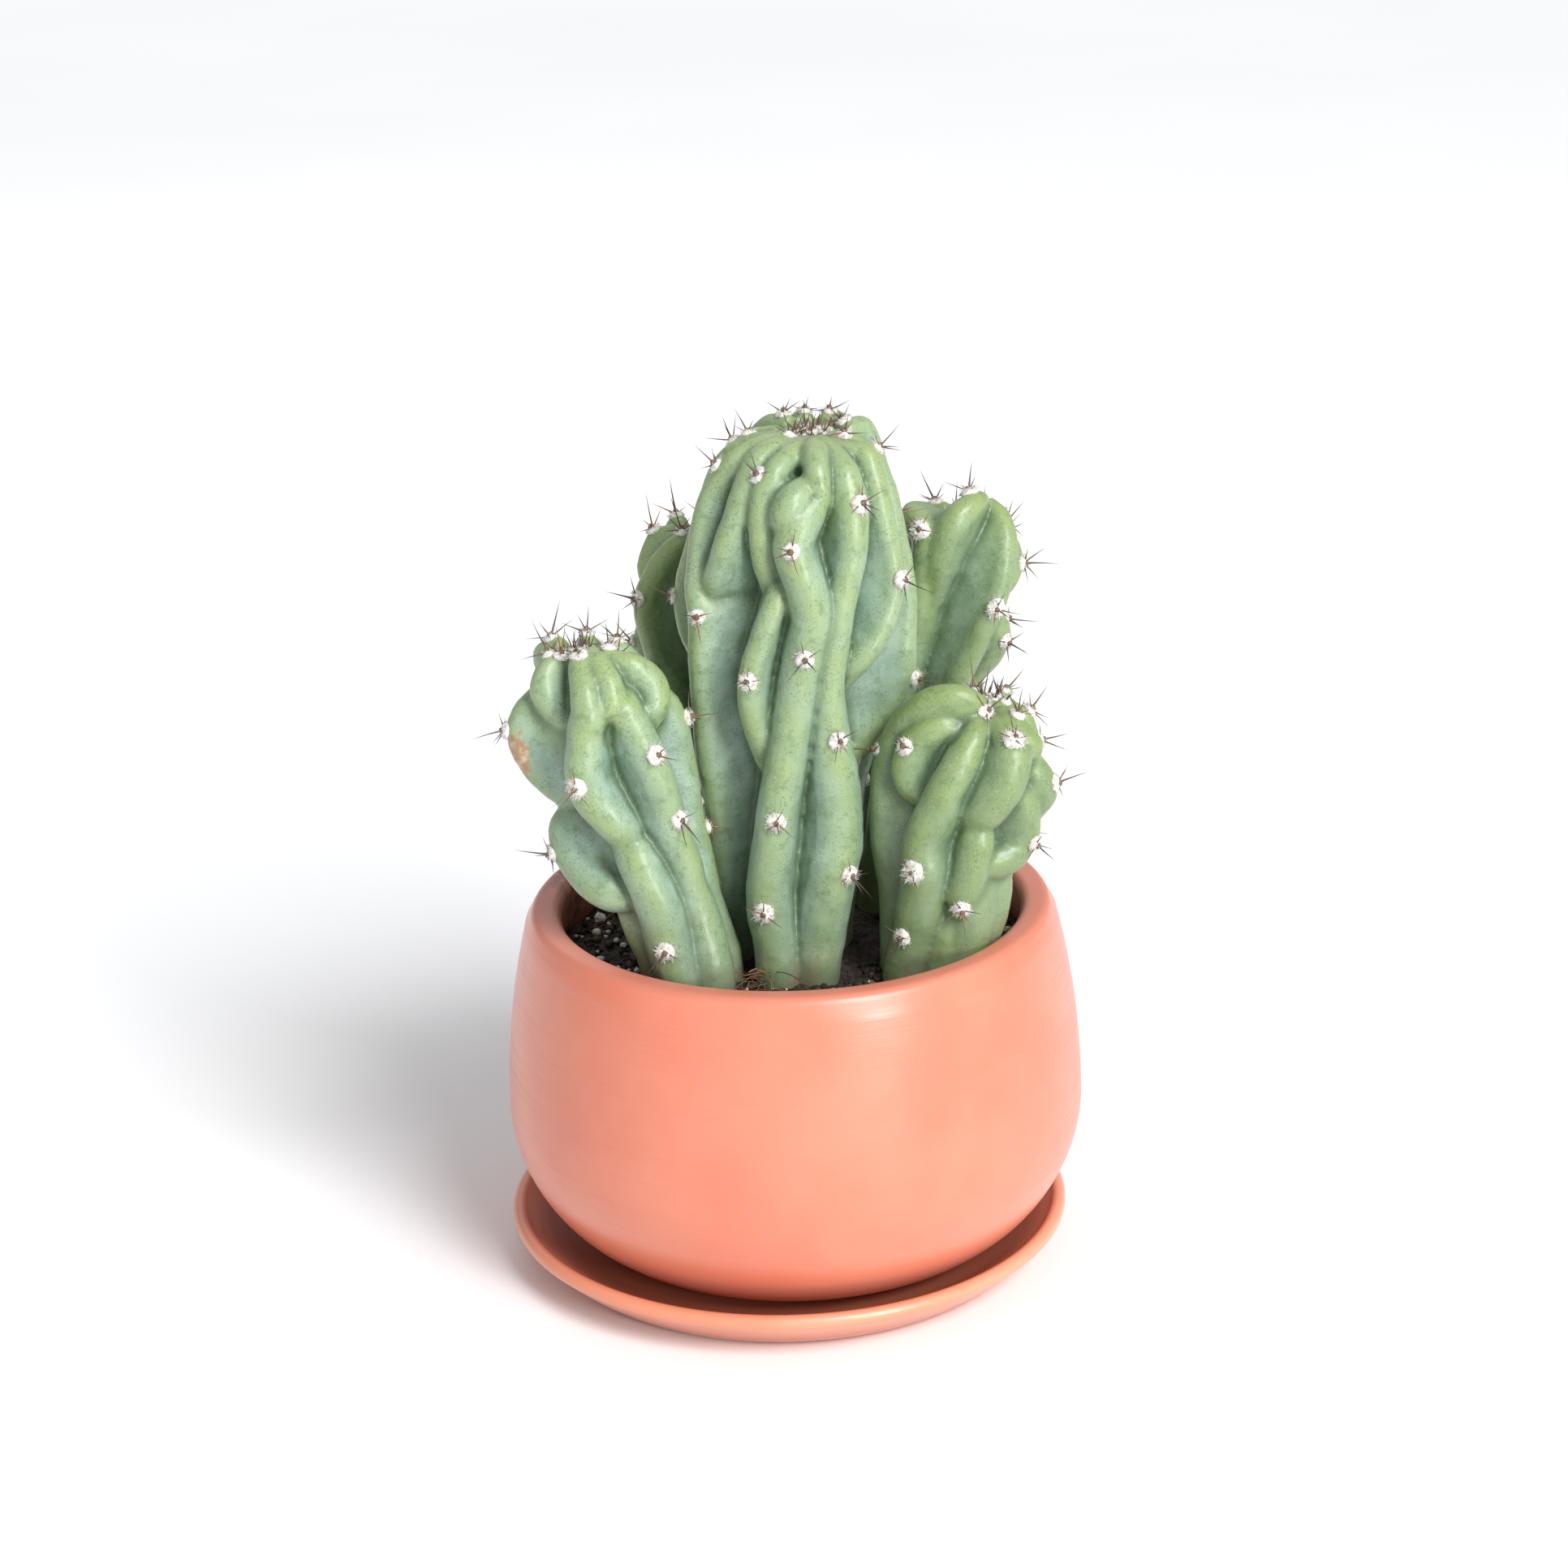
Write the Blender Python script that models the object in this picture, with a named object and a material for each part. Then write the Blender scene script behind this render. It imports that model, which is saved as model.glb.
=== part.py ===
"""Potted apple cactus: a five-columned monstrose cactus in a round terracotta pot on a saucer.

Metres, +Z up. The origin is where the pot's axis meets the surface that the saucer stands on,
and -Y is the front. Each column is described by its ribs, as a list of crest points.
"""

import math
import random

import bmesh
import bpy
import numpy as np
from mathutils import Vector
from mathutils.bvhtree import BVHTree

# ---- driving dimensions, in metres -------------------------------------------------------------
CLEARANCE = 0.0003          # gap between pieces that touch

SAUCER_LIP_RADIUS = 0.0637
SAUCER_BASE_RADIUS = 0.052
SAUCER_HEIGHT = 0.0115
SAUCER_FLOOR = 0.0047       # thickness under the pot
SAUCER_LIP = 0.0034         # thickness of the lip
SAUCER_CHAMFER = 0.0006     # under the edge of the base
SAUCER_FLARE_POWER = 1.4    # over 1 makes the outside of the wall curve up
SAUCER_OVERHANG = 0.4       # share of the lip that stands out beyond the wall
SAUCER_FLAT = 0.92          # share of the base that is flat inside
SAUCER_COVE = ((0.62, 0.0022), (0.15, 0.0003))   # inside wall: share outwards, rise
SAUCER_OFFSET = (-0.0022, 0.0007)   # the pot stands a little off the saucer's centre

POT_HEIGHT = 0.079
POT_FOOT_RADIUS = 0.0385
POT_BELLY_RADIUS = 0.065
POT_BELLY_HEIGHT = 0.0316
POT_MOUTH_RADIUS = 0.0514
POT_RIM_WIDTH = 0.0071
POT_RIM_ROUNDING = 0.0022
POT_WALL = 0.0068
POT_FLOOR = 0.007
POT_BOWL_POWER = 1.8        # roundness of the underside: 1 is a cone, 2 is nearly an ellipse
POT_NECK_START = 0.6        # share of the height above which the inside closes in to the mouth
POT_CORNER_HEIGHT = 0.012   # where the inside turns in towards the floor
POT_CORNER = ((0.86, 1 / 3), (0.72, 0.0))   # below that: share of the radius, of the height
DRAIN_RADIUS = 0.006

SOIL_DROP = 0.010           # from the top of the rim down to the soil
SOIL_RELIEF = 0.0009        # how uneven the soil is
SOIL_SAG = 0.002            # how much lower it is at the wall
SOIL_EDGE = 0.004           # height of the soil's edge, which follows the wall below that

PLANT_HEIGHT = 0.118        # tallest column, above the soil
BURIED_DEPTH = 0.024        # how far the columns reach into the soil

PERLITE_RADIUS = 0.0014     # the largest grains on the soil
PERLITE_ROUGHNESS = 0.16    # how far its corners stand in or out, as a share of the radius
PERLITE_FLATNESS = 0.75     # its height for its width

# ---- mesh quality ------------------------------------------------------------------------------
TURNED_SEGMENTS = 44        # round the pot, the saucer and the soil
SECTION_STEPS = 4           # sections between two crest points
CREST_STEPS = 6             # facets round a crest
CORE_SIDES = 15             # of a column's middle
STEM_VOXEL = 0.0012
SMOOTHING_PASSES = 3
SOCKET_SWELL = 1.8          # sockets are this many clearances larger than a column, because
                            # thinning out the triangles moves the surface a little
SHARP_ANGLE = 50            # degrees

# ---- the ribs' shape ---------------------------------------------------------------------------
TABLE_HEIGHT = 118.0        # the tallest column in the tables below, in their own millimetres
TABLE_BURIED = 24.0         # the depth at which the tables end, below the soil
TABLE_MOUTH = 51.4          # the pot's mouth that the tables' plan positions are meant for
SWELL_SPACING = 19.0        # between the areoles of a plain rib, in the tables' millimetres
CROWN_SHARE = 0.18          # on the crown, a crest's half thickness as a share of its reach,
CROWN_CREST = 0.5           # and what is added to that, in the tables' millimetres
FLANK_POWER = 1.1           # over 1 makes a rib's sides hollow


class Stem:
    """One column. Heights are above the soil; plan positions are from the pot's axis."""

    def __init__(self, name, crown_drop, triangles, colour, axis, core, ribs):
        self.name = name
        self.crown_drop = crown_drop    # depth below the top where the ribs start to fan out
        self.triangles = triangles
        self.colour = colour
        self.axis = np.array(axis, float)
        self.core = np.array(core, float)
        self.ribs = ribs
        self.top = max(row[0] for _, rows in ribs for row in rows)


def plain_rib(top, direction, reach, foot_reach, phase):
    """Rows of a rib that runs from the crown to its foot, swelling and swaying as it goes.

    The crest stands out furthest where an areole sits, every SWELL_SPACING.
    """
    rows = [(top, direction, 6, 2.2), (top - 1.5, direction, 0.7 * reach, 2.9),
            (top - 8, direction, 0.95 * reach, 3.1)]
    height = top - 8 - SWELL_SPACING / 2
    side = 1
    while height > 8:
        fade = min(1.0, height / (0.6 * top))
        full = foot_reach + (reach - foot_reach) * fade
        swell = 1.08 if side > 0 else 0.88
        rows.append((height, direction + 7 * math.sin(phase + height / 11), full * swell, 3.3))
        height -= SWELL_SPACING / 2
        side = -side
    return rows + [(-24, direction, foot_reach - 2, 4)]


# Every table is in millimetres and degrees. An axis row is (height, x, y) and a core row is
# (height, radius). Each rib is (flare, rows): how much it widens towards the axis, as a share of
# its reach, and rows of (height, direction round the axis from +X, reach from the axis to the
# crest, half thickness at the crest), from the crown down.
STEM_MAIN = Stem(
    "stem_main", 18, 2300, (0.20, 0.37, 0.17),
    axis=[(-24, 0, -2), (26, 0, -2), (76, 3, 0), (118, 7, 2)],
    core=[(-24, 8), (0, 13), (30, 14), (60, 14), (88, 14), (103, 13.5), (110, 12.5), (114.5, 9),
          (116.5, 4)],
    ribs=[
        # left back, ending in a lobe
        (0.15, [(118, -148, 8, 2), (117, -160, 15, 2.8), (113, -166, 20, 3), (107, -174, 22, 3),
                (98, -178, 24, 3), (90, -176, 26, 3), (81, -179, 27, 3),
                (72, -170, 25, 3), (62, -160, 19, 3)]),
        # left, down to the soil, its broad flank to the front
        (0.34, [(118, -132, 8, 2), (118, -138, 15, 2.8), (115, -144, 21, 2.8), (109, -152, 24, 2.8),
                (103, -155, 26, 2.8), (94, -155, 27, 2.8), (86, -153, 27.5, 2.8),
                (80, -148, 27.5, 3), (70, -147, 27, 3.2), (60, -147, 26, 3.4),
                (48, -147, 24.5, 3.6), (36, -148, 22, 4), (0, -148, 18, 4), (-24, -148, 12, 4)]),
        # left front, its crest folding back into the left rib
        (0.30, [(117, -112, 8, 2), (118, -122, 14, 2.8), (116, -127, 20, 3), (111, -129, 23, 3),
                (105, -131, 24.5, 3), (99, -134, 25.5, 3), (93, -138, 26, 3),
                (88, -144, 25.5, 3), (84, -150, 23, 3)]),
        # short rib left of the crown's front
        (0.06, [(118, -96, 8, 2), (117.5, -103, 14, 2.5), (115.5, -109, 19.5, 2.7),
                (112.5, -113, 22.5, 2.8), (108, -116, 24, 2.8), (102, -116, 24.3, 2.8),
                (96, -114, 24, 2.8), (90, -111, 22, 2.8), (83, -108, 17, 2.6)]),
        # nub
        (0.02, [(111.5, -91, 21, 2.2), (110, -95, 24.5, 3.2), (107.5, -99, 26.4, 3.8),
                (104.5, -101, 26.6, 3.8), (101.5, -102, 25, 3), (99, -101, 22, 2)]),
        # narrow rib from the crown's front
        (0.02, [(118, -86, 9, 2.2), (118.3, -86, 15, 2.7), (115.8, -86, 20, 2.8),
                (112, -84.5, 22.8, 2.6), (107.5, -82, 22.8, 2), (102, -80, 19, 1.8)]),
        # main front rib, down to the soil
        (0.04, [(109, -82, 21, 2.2), (106, -87, 24.5, 3.3), (102, -93, 27, 4.2),
                (98, -96, 28, 4.4), (94, -93, 28.3, 4.4), (88, -87, 28.6, 4.4),
                (82, -84, 28.6, 4.4), (76, -86, 28.6, 4.4), (65, -90, 28.6, 4.4),
                (54, -93, 28.6, 4.4), (42, -97, 28.4, 4.5), (28, -100, 28.2, 4.8),
                (18, -102, 28.2, 5), (9, -99, 28, 4.8), (0, -98, 27.5, 4.8), (-24, -98, 22, 4.8)]),
        # lobe left of the main front rib, its flank flat to the front
        (0.22, [(92, -98, 20, 2.5), (86, -103, 25, 2.6), (78, -108, 27.5, 2.8),
                (71, -111.5, 28.8, 3), (64, -111.5, 28.6, 3), (57, -109, 26.5, 3),
                (50, -105, 23, 2.8), (43, -101, 17, 2.5)]),
        # front right rib, down to the soil
        (0.18, [(118, -76, 8, 2), (117, -70, 12, 2.8), (115, -66, 17, 3.2), (112, -64, 20.5, 3.7),
                (106, -63, 24, 4), (101, -63, 25.3, 4), (95, -64, 26, 3.7), (88, -67, 26.5, 3.4),
                (80, -70, 27, 3.2), (72, -72, 27, 3.4), (64, -73, 27, 3.8), (56, -71, 27.3, 4.6),
                (49, -68, 27.4, 5.4), (40, -64, 27.2, 6), (31, -63, 27.4, 6.4),
                (25, -66, 27.6, 6.4), (17, -70, 27.2, 6.2), (9, -74, 27, 6),
                (0, -77, 26.5, 5.6), (-24, -77, 20, 5)]),
        # flat lobe that runs back into the front right rib
        (0.30, [(117, -60, 8, 2), (116, -48, 12.5, 2.6), (115, -38, 17, 2.8), (109, -40, 21, 3),
                (102, -39, 23.5, 3), (94, -36, 25.5, 2.8), (88, -36, 27, 2.8), (84, -38, 27.5, 2.8),
                (77, -44, 27, 2.8), (71, -54, 25.5, 2.8), (65, -62, 21, 2.6)]),
        # right rib: a straight crest with a broad flank, and an overhanging end
        (0.34, [(117, -48, 8, 2), (117, -30, 11, 2.8), (114, -14, 14, 3), (110, -6, 17, 3),
                (104, -8, 20, 3), (97, -13, 22.5, 2.8), (88, -12, 25, 2.8), (80, -12, 26.5, 2.8),
                (72, -14, 27, 3), (63, -15, 27, 3.2), (56, -20, 24.5, 3.4), (49, -30, 20, 3.6),
                (40, -38, 17, 4), (-24, -42, 12, 4)]),
        # the back, from right to left
        (0.20, [(118, 10, 8, 2), (118, 22, 13, 2.8), (115, 25, 16, 3), (108, 22, 19, 3),
                (96, 20, 21.5, 3), (80, 14, 23.5, 3), (66, 20, 22, 3), (52, 12, 21, 3.3),
                (36, 20, 18, 3.6), (20, 14, 16, 4), (-24, 14, 12, 4)]),
        (0.20, plain_rib(119, 58, 20, 16, 0.5)),
        (0.20, plain_rib(119, 96, 20, 16, 2.0)),
        (0.20, plain_rib(119, 132, 20, 16, 3.6)),
        (0.20, [(118, 172, 7, 2.2), (116, 166, 14, 2.8), (110, 160, 19, 3), (98, 151, 22.5, 3),
                (86, 158, 20, 3), (76, 153, 22.5, 3), (60, 158, 19, 3.3), (46, 150, 19.5, 3.6),
                (24, 157, 16, 4), (-24, 155, 12, 4)]),
        (0.20, [(72, 176, 16, 3), (62, -178, 20.5, 3.2), (48, 176, 18, 3.5), (36, -178, 18.5, 3.8),
                (20, 180, 16, 4), (-24, 180, 12, 4)]),
    ])

STEM_LEFT = Stem(
    "stem_left", 13, 1700, (0.23, 0.40, 0.18),
    axis=[(-24, -20, -21), (6, -22, -22), (36, -34, -20), (74, -43, -16), (80, -44, -15)],
    core=[(-24, 8), (0, 10), (30, 10.5), (60, 10.5), (66, 9), (71.5, 6), (74, 3)],
    ribs=[
        # small lobe left of the crown
        (0.04, [(76.2, -140, 5, 2), (74.5, -146, 9.5, 2.8), (71, -148, 13, 3.4), (66.8, -148, 14.5, 3.4),
                (61.7, -147, 13, 3), (57, -146, 9, 2.5)]),
        # far left lobe, flat to the front
        (0.30, [(71, 178, 8, 2.5), (66.8, -178, 13, 2.8), (63.4, -176, 17.5, 3), (59, -175, 20.5, 3),
                (54, -175, 21.3, 3), (48, -176, 20, 3), (43, -176, 16.5, 3), (38, -178, 11, 3)]),
        # big front rib
        (0.08, [(76.2, -97, 6, 2), (75.3, -94, 10, 3.2), (71.9, -91, 14.5, 4), (68.5, -92, 16.5, 4.2),
                (64.2, -94, 17.5, 4.2), (60.9, -101, 17, 4), (55, -108, 18.3, 4.2),
                (50, -113, 18.3, 4.4), (46, -110, 18, 4.5), (43, -104, 17, 4.5),
                (39, -96, 16, 4), (34, -92, 12, 3.5)]),
        # front rib at the base
        (0.15, [(37, -93, 12, 4), (32, -91, 16, 4.5), (22, -90, 17, 5), (13, -98, 16, 5.4),
                (6, -103, 16, 5.4), (0, -104, 15, 5), (-24, -104, 11, 5)]),
        # short yellow-green rib from the crown's front
        (0.03, [(77, -70, 6, 2), (76.2, -68, 10.5, 2.8), (72.8, -66, 14.5, 3.2), (69.3, -68, 16.3, 3.3),
                (66, -72, 16.3, 3), (62.5, -76, 14, 2.5)]),
        # long rib down to the soil
        (0.12, [(69.3, -50, 13, 2.5), (66.8, -54, 16, 3.3), (64.2, -58, 17, 3.8), (61.7, -57, 17.5, 4),
                (57, -54, 18.3, 4.3), (48, -49, 18.3, 4.3), (41, -46, 17.4, 4.3),
                (31, -42, 16, 4.3), (24, -46, 15, 4.5), (15, -51, 15, 5), (4, -64, 15, 5.2),
                (-24, -66, 11, 5)]),
        # bulging lobe at the top right
        (0.20, [(76.2, -46, 8, 2.5), (75.3, -36, 14, 3.8), (71.9, -26, 17.5, 4.8), (67.7, -24, 18.3, 5.2),
                (63.4, -29, 17.5, 4.6), (58, -36, 13, 3)]),
        # right flank
        (0.25, [(70.2, 0, 11, 3), (65.1, -4, 17, 3.3), (59, 0, 18.5, 3.4), (52, 4, 18, 3.4),
                (43, 6, 17, 3.6), (30, 8, 15, 4), (15, 5, 12, 4), (-24, 5, 10, 4)]),
        # lower left lobe that hangs over the rim
        (0.25, [(42, -178, 13, 3), (37, -175, 17.5, 3.4), (31, -170, 19.5, 3.8),
                (26, -158, 18.5, 4), (23.5, -134, 16.5, 4.2), (25, -112, 12, 4)]),
        # base, left
        (0.10, [(24, -142, 12, 4), (8, -142, 13, 4), (-24, -142, 10, 4)]),
        (0.10, [(30, 178, 11, 4), (8, 178, 12, 4), (-24, 178, 9, 4)]),
        # the back
        (0.20, plain_rib(75.3, 34, 16, 13, 0.4)),
        (0.15, [(74.5, 70, 4, 2.4), (75.7, 84, 7.5, 3.8), (73.6, 88, 12, 3.8), (68.5, 84, 15, 3.6),
                (60, 90, 16.5, 3.4), (50, 82, 14, 3.6), (40, 90, 15.5, 3.8), (22, 84, 12.5, 4),
                (-24, 84, 10, 4)]),
        (0.20, [(76.2, 142, 6, 2.2), (72.8, 138, 14, 3), (65.1, 130, 17.5, 3.2), (58, 137, 18, 3.4),
                (49, 141, 14, 3.6), (40, 131, 15.5, 3.8), (28, 135, 12, 4), (-24, 132, 10, 4)]),
    ])

STEM_RIGHT_FRONT = Stem(
    "stem_right_front", 13, 1700, (0.25, 0.41, 0.18),
    axis=[(-24, 29, -17), (6, 33, -19), (36, 38, -18), (56, 43, -15), (66, 45, -14)],
    core=[(-24, 8), (0, 10), (24, 11), (44, 10), (52, 8), (58, 6), (60.5, 3)],
    ribs=[
        # arch towards the main column
        (0.24, [(62, -100, 5, 2.2), (65, -118, 10, 3), (66, -136, 13.8, 3.6), (64, -153, 17.3, 3.6),
                (59, -168, 20.3, 3.6), (53, -178, 21.8, 3.6), (46, 178, 22.2, 3.8),
                (38, 178, 21, 4), (28, 178, 19, 4.2), (14, 178, 15, 4.5),
                (-24, 178, 10, 4.5)]),
        # small lobe inside the arch
        (0.12, [(58, -118, 8, 2.5), (59, -135, 14.5, 3), (57, -147, 18, 3.4), (53, -155, 20, 3.6),
                (48, -157, 20, 3.5), (43.5, -153, 18, 3), (39.5, -147, 13, 2.6)]),
        # main front rib
        (0.08, [(60, -98, 5, 2.2), (58, -103, 12, 3.5), (52, -109, 17, 4), (46, -116, 18.5, 4.2),
                (40, -122, 18.5, 4.4), (35, -129, 18, 4.5), (31, -130, 18, 4.7),
                (27, -126, 18, 5), (22, -127, 17, 5.2), (16, -129, 16.5, 5.2),
                (10, -132, 15.5, 5), (0, -140, 15, 5), (-24, -140, 11, 5)]),
        # short fat lobe
        (0.06, [(59, -76, 6, 2.2), (58, -72, 12, 3.8), (54, -67, 17, 4.5), (50, -64, 18.5, 4.8),
                (46, -67, 18.5, 5), (42, -73, 17.5, 5), (38, -82, 15, 4.2), (35, -90, 11, 3)]),
        # upper right
        (0.15, [(60, -50, 5, 2.2), (58.5, -50, 10.5, 3.2), (55.5, -47, 14.5, 4), (53, -43, 16, 4),
                (50, -38, 15.5, 3.5), (45, -34, 12, 3)]),
        # right edge
        (0.15, [(53, -34, 12, 3), (48, -32, 17, 3.8), (44, -24, 19, 4), (40, -12, 19.5, 4),
                (36, -8, 18, 4), (30, -6, 13, 3.5)]),
        # lower right lobe that hangs over the rim
        (0.22, [(50, -52, 12, 3), (43, -40, 16.5, 3.6), (37, -30, 18, 3.8), (33, -24, 18, 4),
                (29, -28, 17, 4.2), (27.5, -44, 15.5, 4.2), (28, -60, 14, 4),
                (30, -76, 12, 3.5)]),
        # under the fat lobe
        (0.10, [(38, -78, 12, 3.5), (34, -76, 15.5, 3.8), (30, -78, 15.5, 4),
                (25, -80, 15.5, 4), (21, -84, 15, 4), (18, -92, 13, 3.5), (19, -104, 10, 3)]),
        # base, right
        (0.15, [(28, -58, 12, 5), (16, -58, 13.5, 6), (6, -60, 13.5, 6), (-24, -62, 10, 5)]),
        (0.15, [(28, -26, 12, 5), (18, -24, 14, 6), (6, -25, 13, 6), (-24, -25, 10, 5)]),
        (0.15, [(18, -94, 11, 5), (8, -94, 12.5, 6), (-24, -94, 10, 5)]),
        # the back
        (0.12, [(60, 15, 5, 2.2), (56, 14, 10.5, 3.5), (48, 12, 14.5, 4), (40, 18, 16.5, 4),
                (33, 12, 14, 4), (22, 16, 14, 4), (-24, 14, 10, 4)]),
        (0.10, plain_rib(60, 60, 14, 12.5, 1.0)),
        (0.10, plain_rib(60, 105, 14, 13, 2.7)),
        (0.12, [(61.5, 150, 6, 2.2), (58, 144, 12.5, 3.5), (51, 138, 16, 4), (42, 144, 15, 4),
                (32, 138, 15, 4), (16, 142, 13, 4), (-24, 140, 10, 4)]),
    ])

STEM_RIGHT_BACK = Stem(
    "stem_right_back", 14, 1300, (0.24, 0.40, 0.17),
    axis=[(-24, 20, 24), (16, 25, 25), (56, 33, 26), (94, 43, 26), (98, 44, 26)],
    core=[(-24, 8), (0, 9), (40, 10), (72, 10), (82, 8), (88, 4)],
    ribs=[
        # behind the main column's right edge
        (0.30, [(93, 178, 10, 2.6), (94, -166, 15.5, 3), (93, -146, 18, 3.2), (91, -132, 18.5, 3.4),
                (86, -126, 18, 3.4), (76, -126, 17, 3.5), (50, -122, 15, 4), (20, -118, 13, 4),
                (-24, -118, 10, 4)]),
        # front left rib, its rounded top level with the crown
        (0.16, [(96, -70, 5, 2.4), (97.5, -84, 9, 3.2), (97, -98, 13.5, 4), (94, -107, 17, 4.6),
                (89, -112, 18, 4.6), (82, -114, 17, 4), (75, -116, 14, 3.4), (66, -116, 10, 3)]),
        # big front rib: the flank left of its crest is broad and flat
        (0.42, [(95, -40, 5, 2.2), (93, -42, 9.5, 2.8), (89, -46, 14, 3), (84.5, -49, 16.8, 3),
                (79, -52, 18.2, 3), (73, -56, 19, 3), (65, -61, 18.5, 3),
                (56, -68, 17.5, 3.2), (40, -72, 15.5, 3.8), (20, -74, 13.5, 4.5),
                (-24, -74, 10, 4.5)]),
        # lobes on the right
        (0.16, [(90, -12, 7, 2.5), (85.5, -16, 12.5, 3.2), (80, -20, 15.4, 3.8), (75.5, -27, 15.5, 3.6),
                (71, -38, 11.5, 3)]),
        (0.16, [(73, -48, 12, 3), (68, -43, 18, 3.2), (63, -37, 19, 3.8), (58, -36, 17.5, 3.6),
                (53, -38, 14, 3.3), (44, -44, 10, 3)]),
        # the back
        (0.25, [(89, 18, 5, 2.2), (84.5, 16, 10, 3), (77.5, 10, 13, 3), (71, 15, 13, 3.2),
                (63, 6, 15.5, 3.2), (52, 11, 13.5, 3.6), (38, 5, 15.5, 3.8), (20, 10, 12, 4),
                (-24, 8, 10, 4)]),
        (0.25, plain_rib(89, 56, 13, 12, 0.8)),
        (0.25, plain_rib(90, 102, 13.5, 12, 2.4)),
        (0.25, plain_rib(92.5, 148, 14, 12, 4.0)),
        (0.20, [(78, -168, 12, 3), (60, -168, 12, 4), (30, -168, 11, 4), (-24, -168, 10, 4)]),
    ])

STEM_LEFT_BACK = Stem(
    "stem_left_back", 14, 1100, (0.19, 0.36, 0.17),
    axis=[(-24, -12, 27), (16, -15, 29), (56, -19, 30), (86, -19, 31), (91, -19, 31)],
    core=[(-24, 8), (0, 8), (40, 9), (68, 9), (78, 8), (85, 4)],
    ribs=[
        # left front rib with a broad, flat flank
        (0.38, [(89.5, -95, 5, 2.2), (88.5, -110, 11.5, 2.8), (84, -124, 15.5, 3),
                (75, -136, 18.3, 3), (68, -136, 18, 3), (59, -131, 16, 3.2),
                (51, -123, 14, 3.6), (20, -118, 12, 4), (-24, -116, 9, 4)]),
        (0.25, [(88.5, 168, 5, 2.2), (86, 171, 10.5, 3), (79, 177, 13.5, 3), (70, 170, 12.5, 3.2),
                (61, 178, 15, 3.2), (50, 172, 12.5, 3.6), (34, 178, 13, 3.8),
                (-24, 176, 9, 4)]),
        (0.25, plain_rib(89, 122, 14, 11, 0.2)),
        (0.25, plain_rib(88, 74, 14, 11, 1.7)),
        (0.25, plain_rib(88.5, 22, 14, 11, 3.1)),
        (0.20, plain_rib(89, -42, 13, 11, 4.4)),
        (0.25, [(81, -84, 11, 3), (70, -82, 12.5, 3.5), (45, -80, 12, 4), (20, -80, 11, 4),
                (-24, -80, 9, 4)]),
    ])

# In the order in which they are fitted: each column makes room for those before it.
STEMS = [STEM_MAIN, STEM_LEFT, STEM_RIGHT_FRONT, STEM_RIGHT_BACK, STEM_LEFT_BACK]

# Grains of perlite that lie on the soil: (distance from the pot's axis as a share of the mouth's
# radius, direction in degrees, size as a share of PERLITE_RADIUS).
PERLITE = [
    (0.90, 161, 1.00), (0.87, 171, 0.75), (0.93, 150, 0.80), (0.85, -168, 0.70),
    (0.86, -8, 0.85), (0.91, 12, 1.00), (0.95, 3, 0.75), (0.90, 22, 0.90),
    (0.92, 60, 0.90), (0.90, 95, 0.95), (0.90, 127, 0.85), (0.93, -97, 0.80),
]

# ---- values that follow from the driving dimensions ----------------------------------------------
POT_BASE = SAUCER_FLOOR + CLEARANCE
POT_TOP = POT_BASE + POT_HEIGHT
SOIL_LEVEL = POT_TOP - SOIL_DROP
PLAN_SCALE = POT_MOUTH_RADIUS / TABLE_MOUTH
HEIGHT_SCALE = PLANT_HEIGHT / TABLE_HEIGHT


# ---- scene and materials -------------------------------------------------------------------------
def clear_scene():
    for obj in list(bpy.data.objects):
        bpy.data.objects.remove(obj, do_unlink=True)


def make_material(name, colour, roughness):
    material = bpy.data.materials.new(name)
    material.use_nodes = True
    shader = material.node_tree.nodes["Principled BSDF"]
    shader.inputs["Base Color"].default_value = (*colour, 1.0)
    shader.inputs["Roughness"].default_value = roughness
    shader.inputs["Metallic"].default_value = 0.0
    return material


def add_object(name, bm, material=None):
    """A new object from the bmesh, which is freed."""
    bmesh.ops.recalc_face_normals(bm, faces=bm.faces)
    mesh = bpy.data.meshes.new(name)
    bm.to_mesh(mesh)
    bm.free()
    obj = bpy.data.objects.new(name, mesh)
    bpy.context.scene.collection.objects.link(obj)
    if material:
        mesh.materials.append(material)
    return obj


def hide_cutter(obj):
    obj.hide_render = True
    obj.display_type = "WIRE"


def cut(obj, cutter):
    modifier = obj.modifiers.new("cut_" + cutter.name, "BOOLEAN")
    modifier.operation = "DIFFERENCE"
    modifier.solver = "EXACT"
    modifier.use_self = True    # a swelled cutter may cross itself in a narrow groove
    modifier.object = cutter


# ---- turned pieces -------------------------------------------------------------------------------
def turned(profile, segments):
    """A bmesh turned about Z from a closed profile of (radius, height) points.

    Points at radius 0 become one vertex each.
    """
    bm = bmesh.new()
    rings = []
    for radius, height in profile:
        if radius == 0.0:
            rings.append([bm.verts.new((0.0, 0.0, height))])
            continue
        angles = [2 * math.pi * i / segments for i in range(segments)]
        rings.append([bm.verts.new((radius * math.cos(a), radius * math.sin(a), height))
                      for a in angles])
    bridge_rings(bm, rings, segments, closed=profile[0][0] != 0.0)
    return bm


def bridge_rings(bm, rings, segments, closed):
    """Faces between each ring and the next, and from the last to the first when closed."""
    pairs = list(zip(rings, rings[1:]))
    if closed:
        pairs.append((rings[-1], rings[0]))
    for first, second in pairs:
        if len(first) == len(second) == 1:
            continue
        for i in range(segments):
            j = (i + 1) % segments
            corners = [first[i % len(first)], first[j % len(first)],
                       second[j % len(second)], second[i % len(second)]]
            bm.faces.new(list(dict.fromkeys(corners)))


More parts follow.
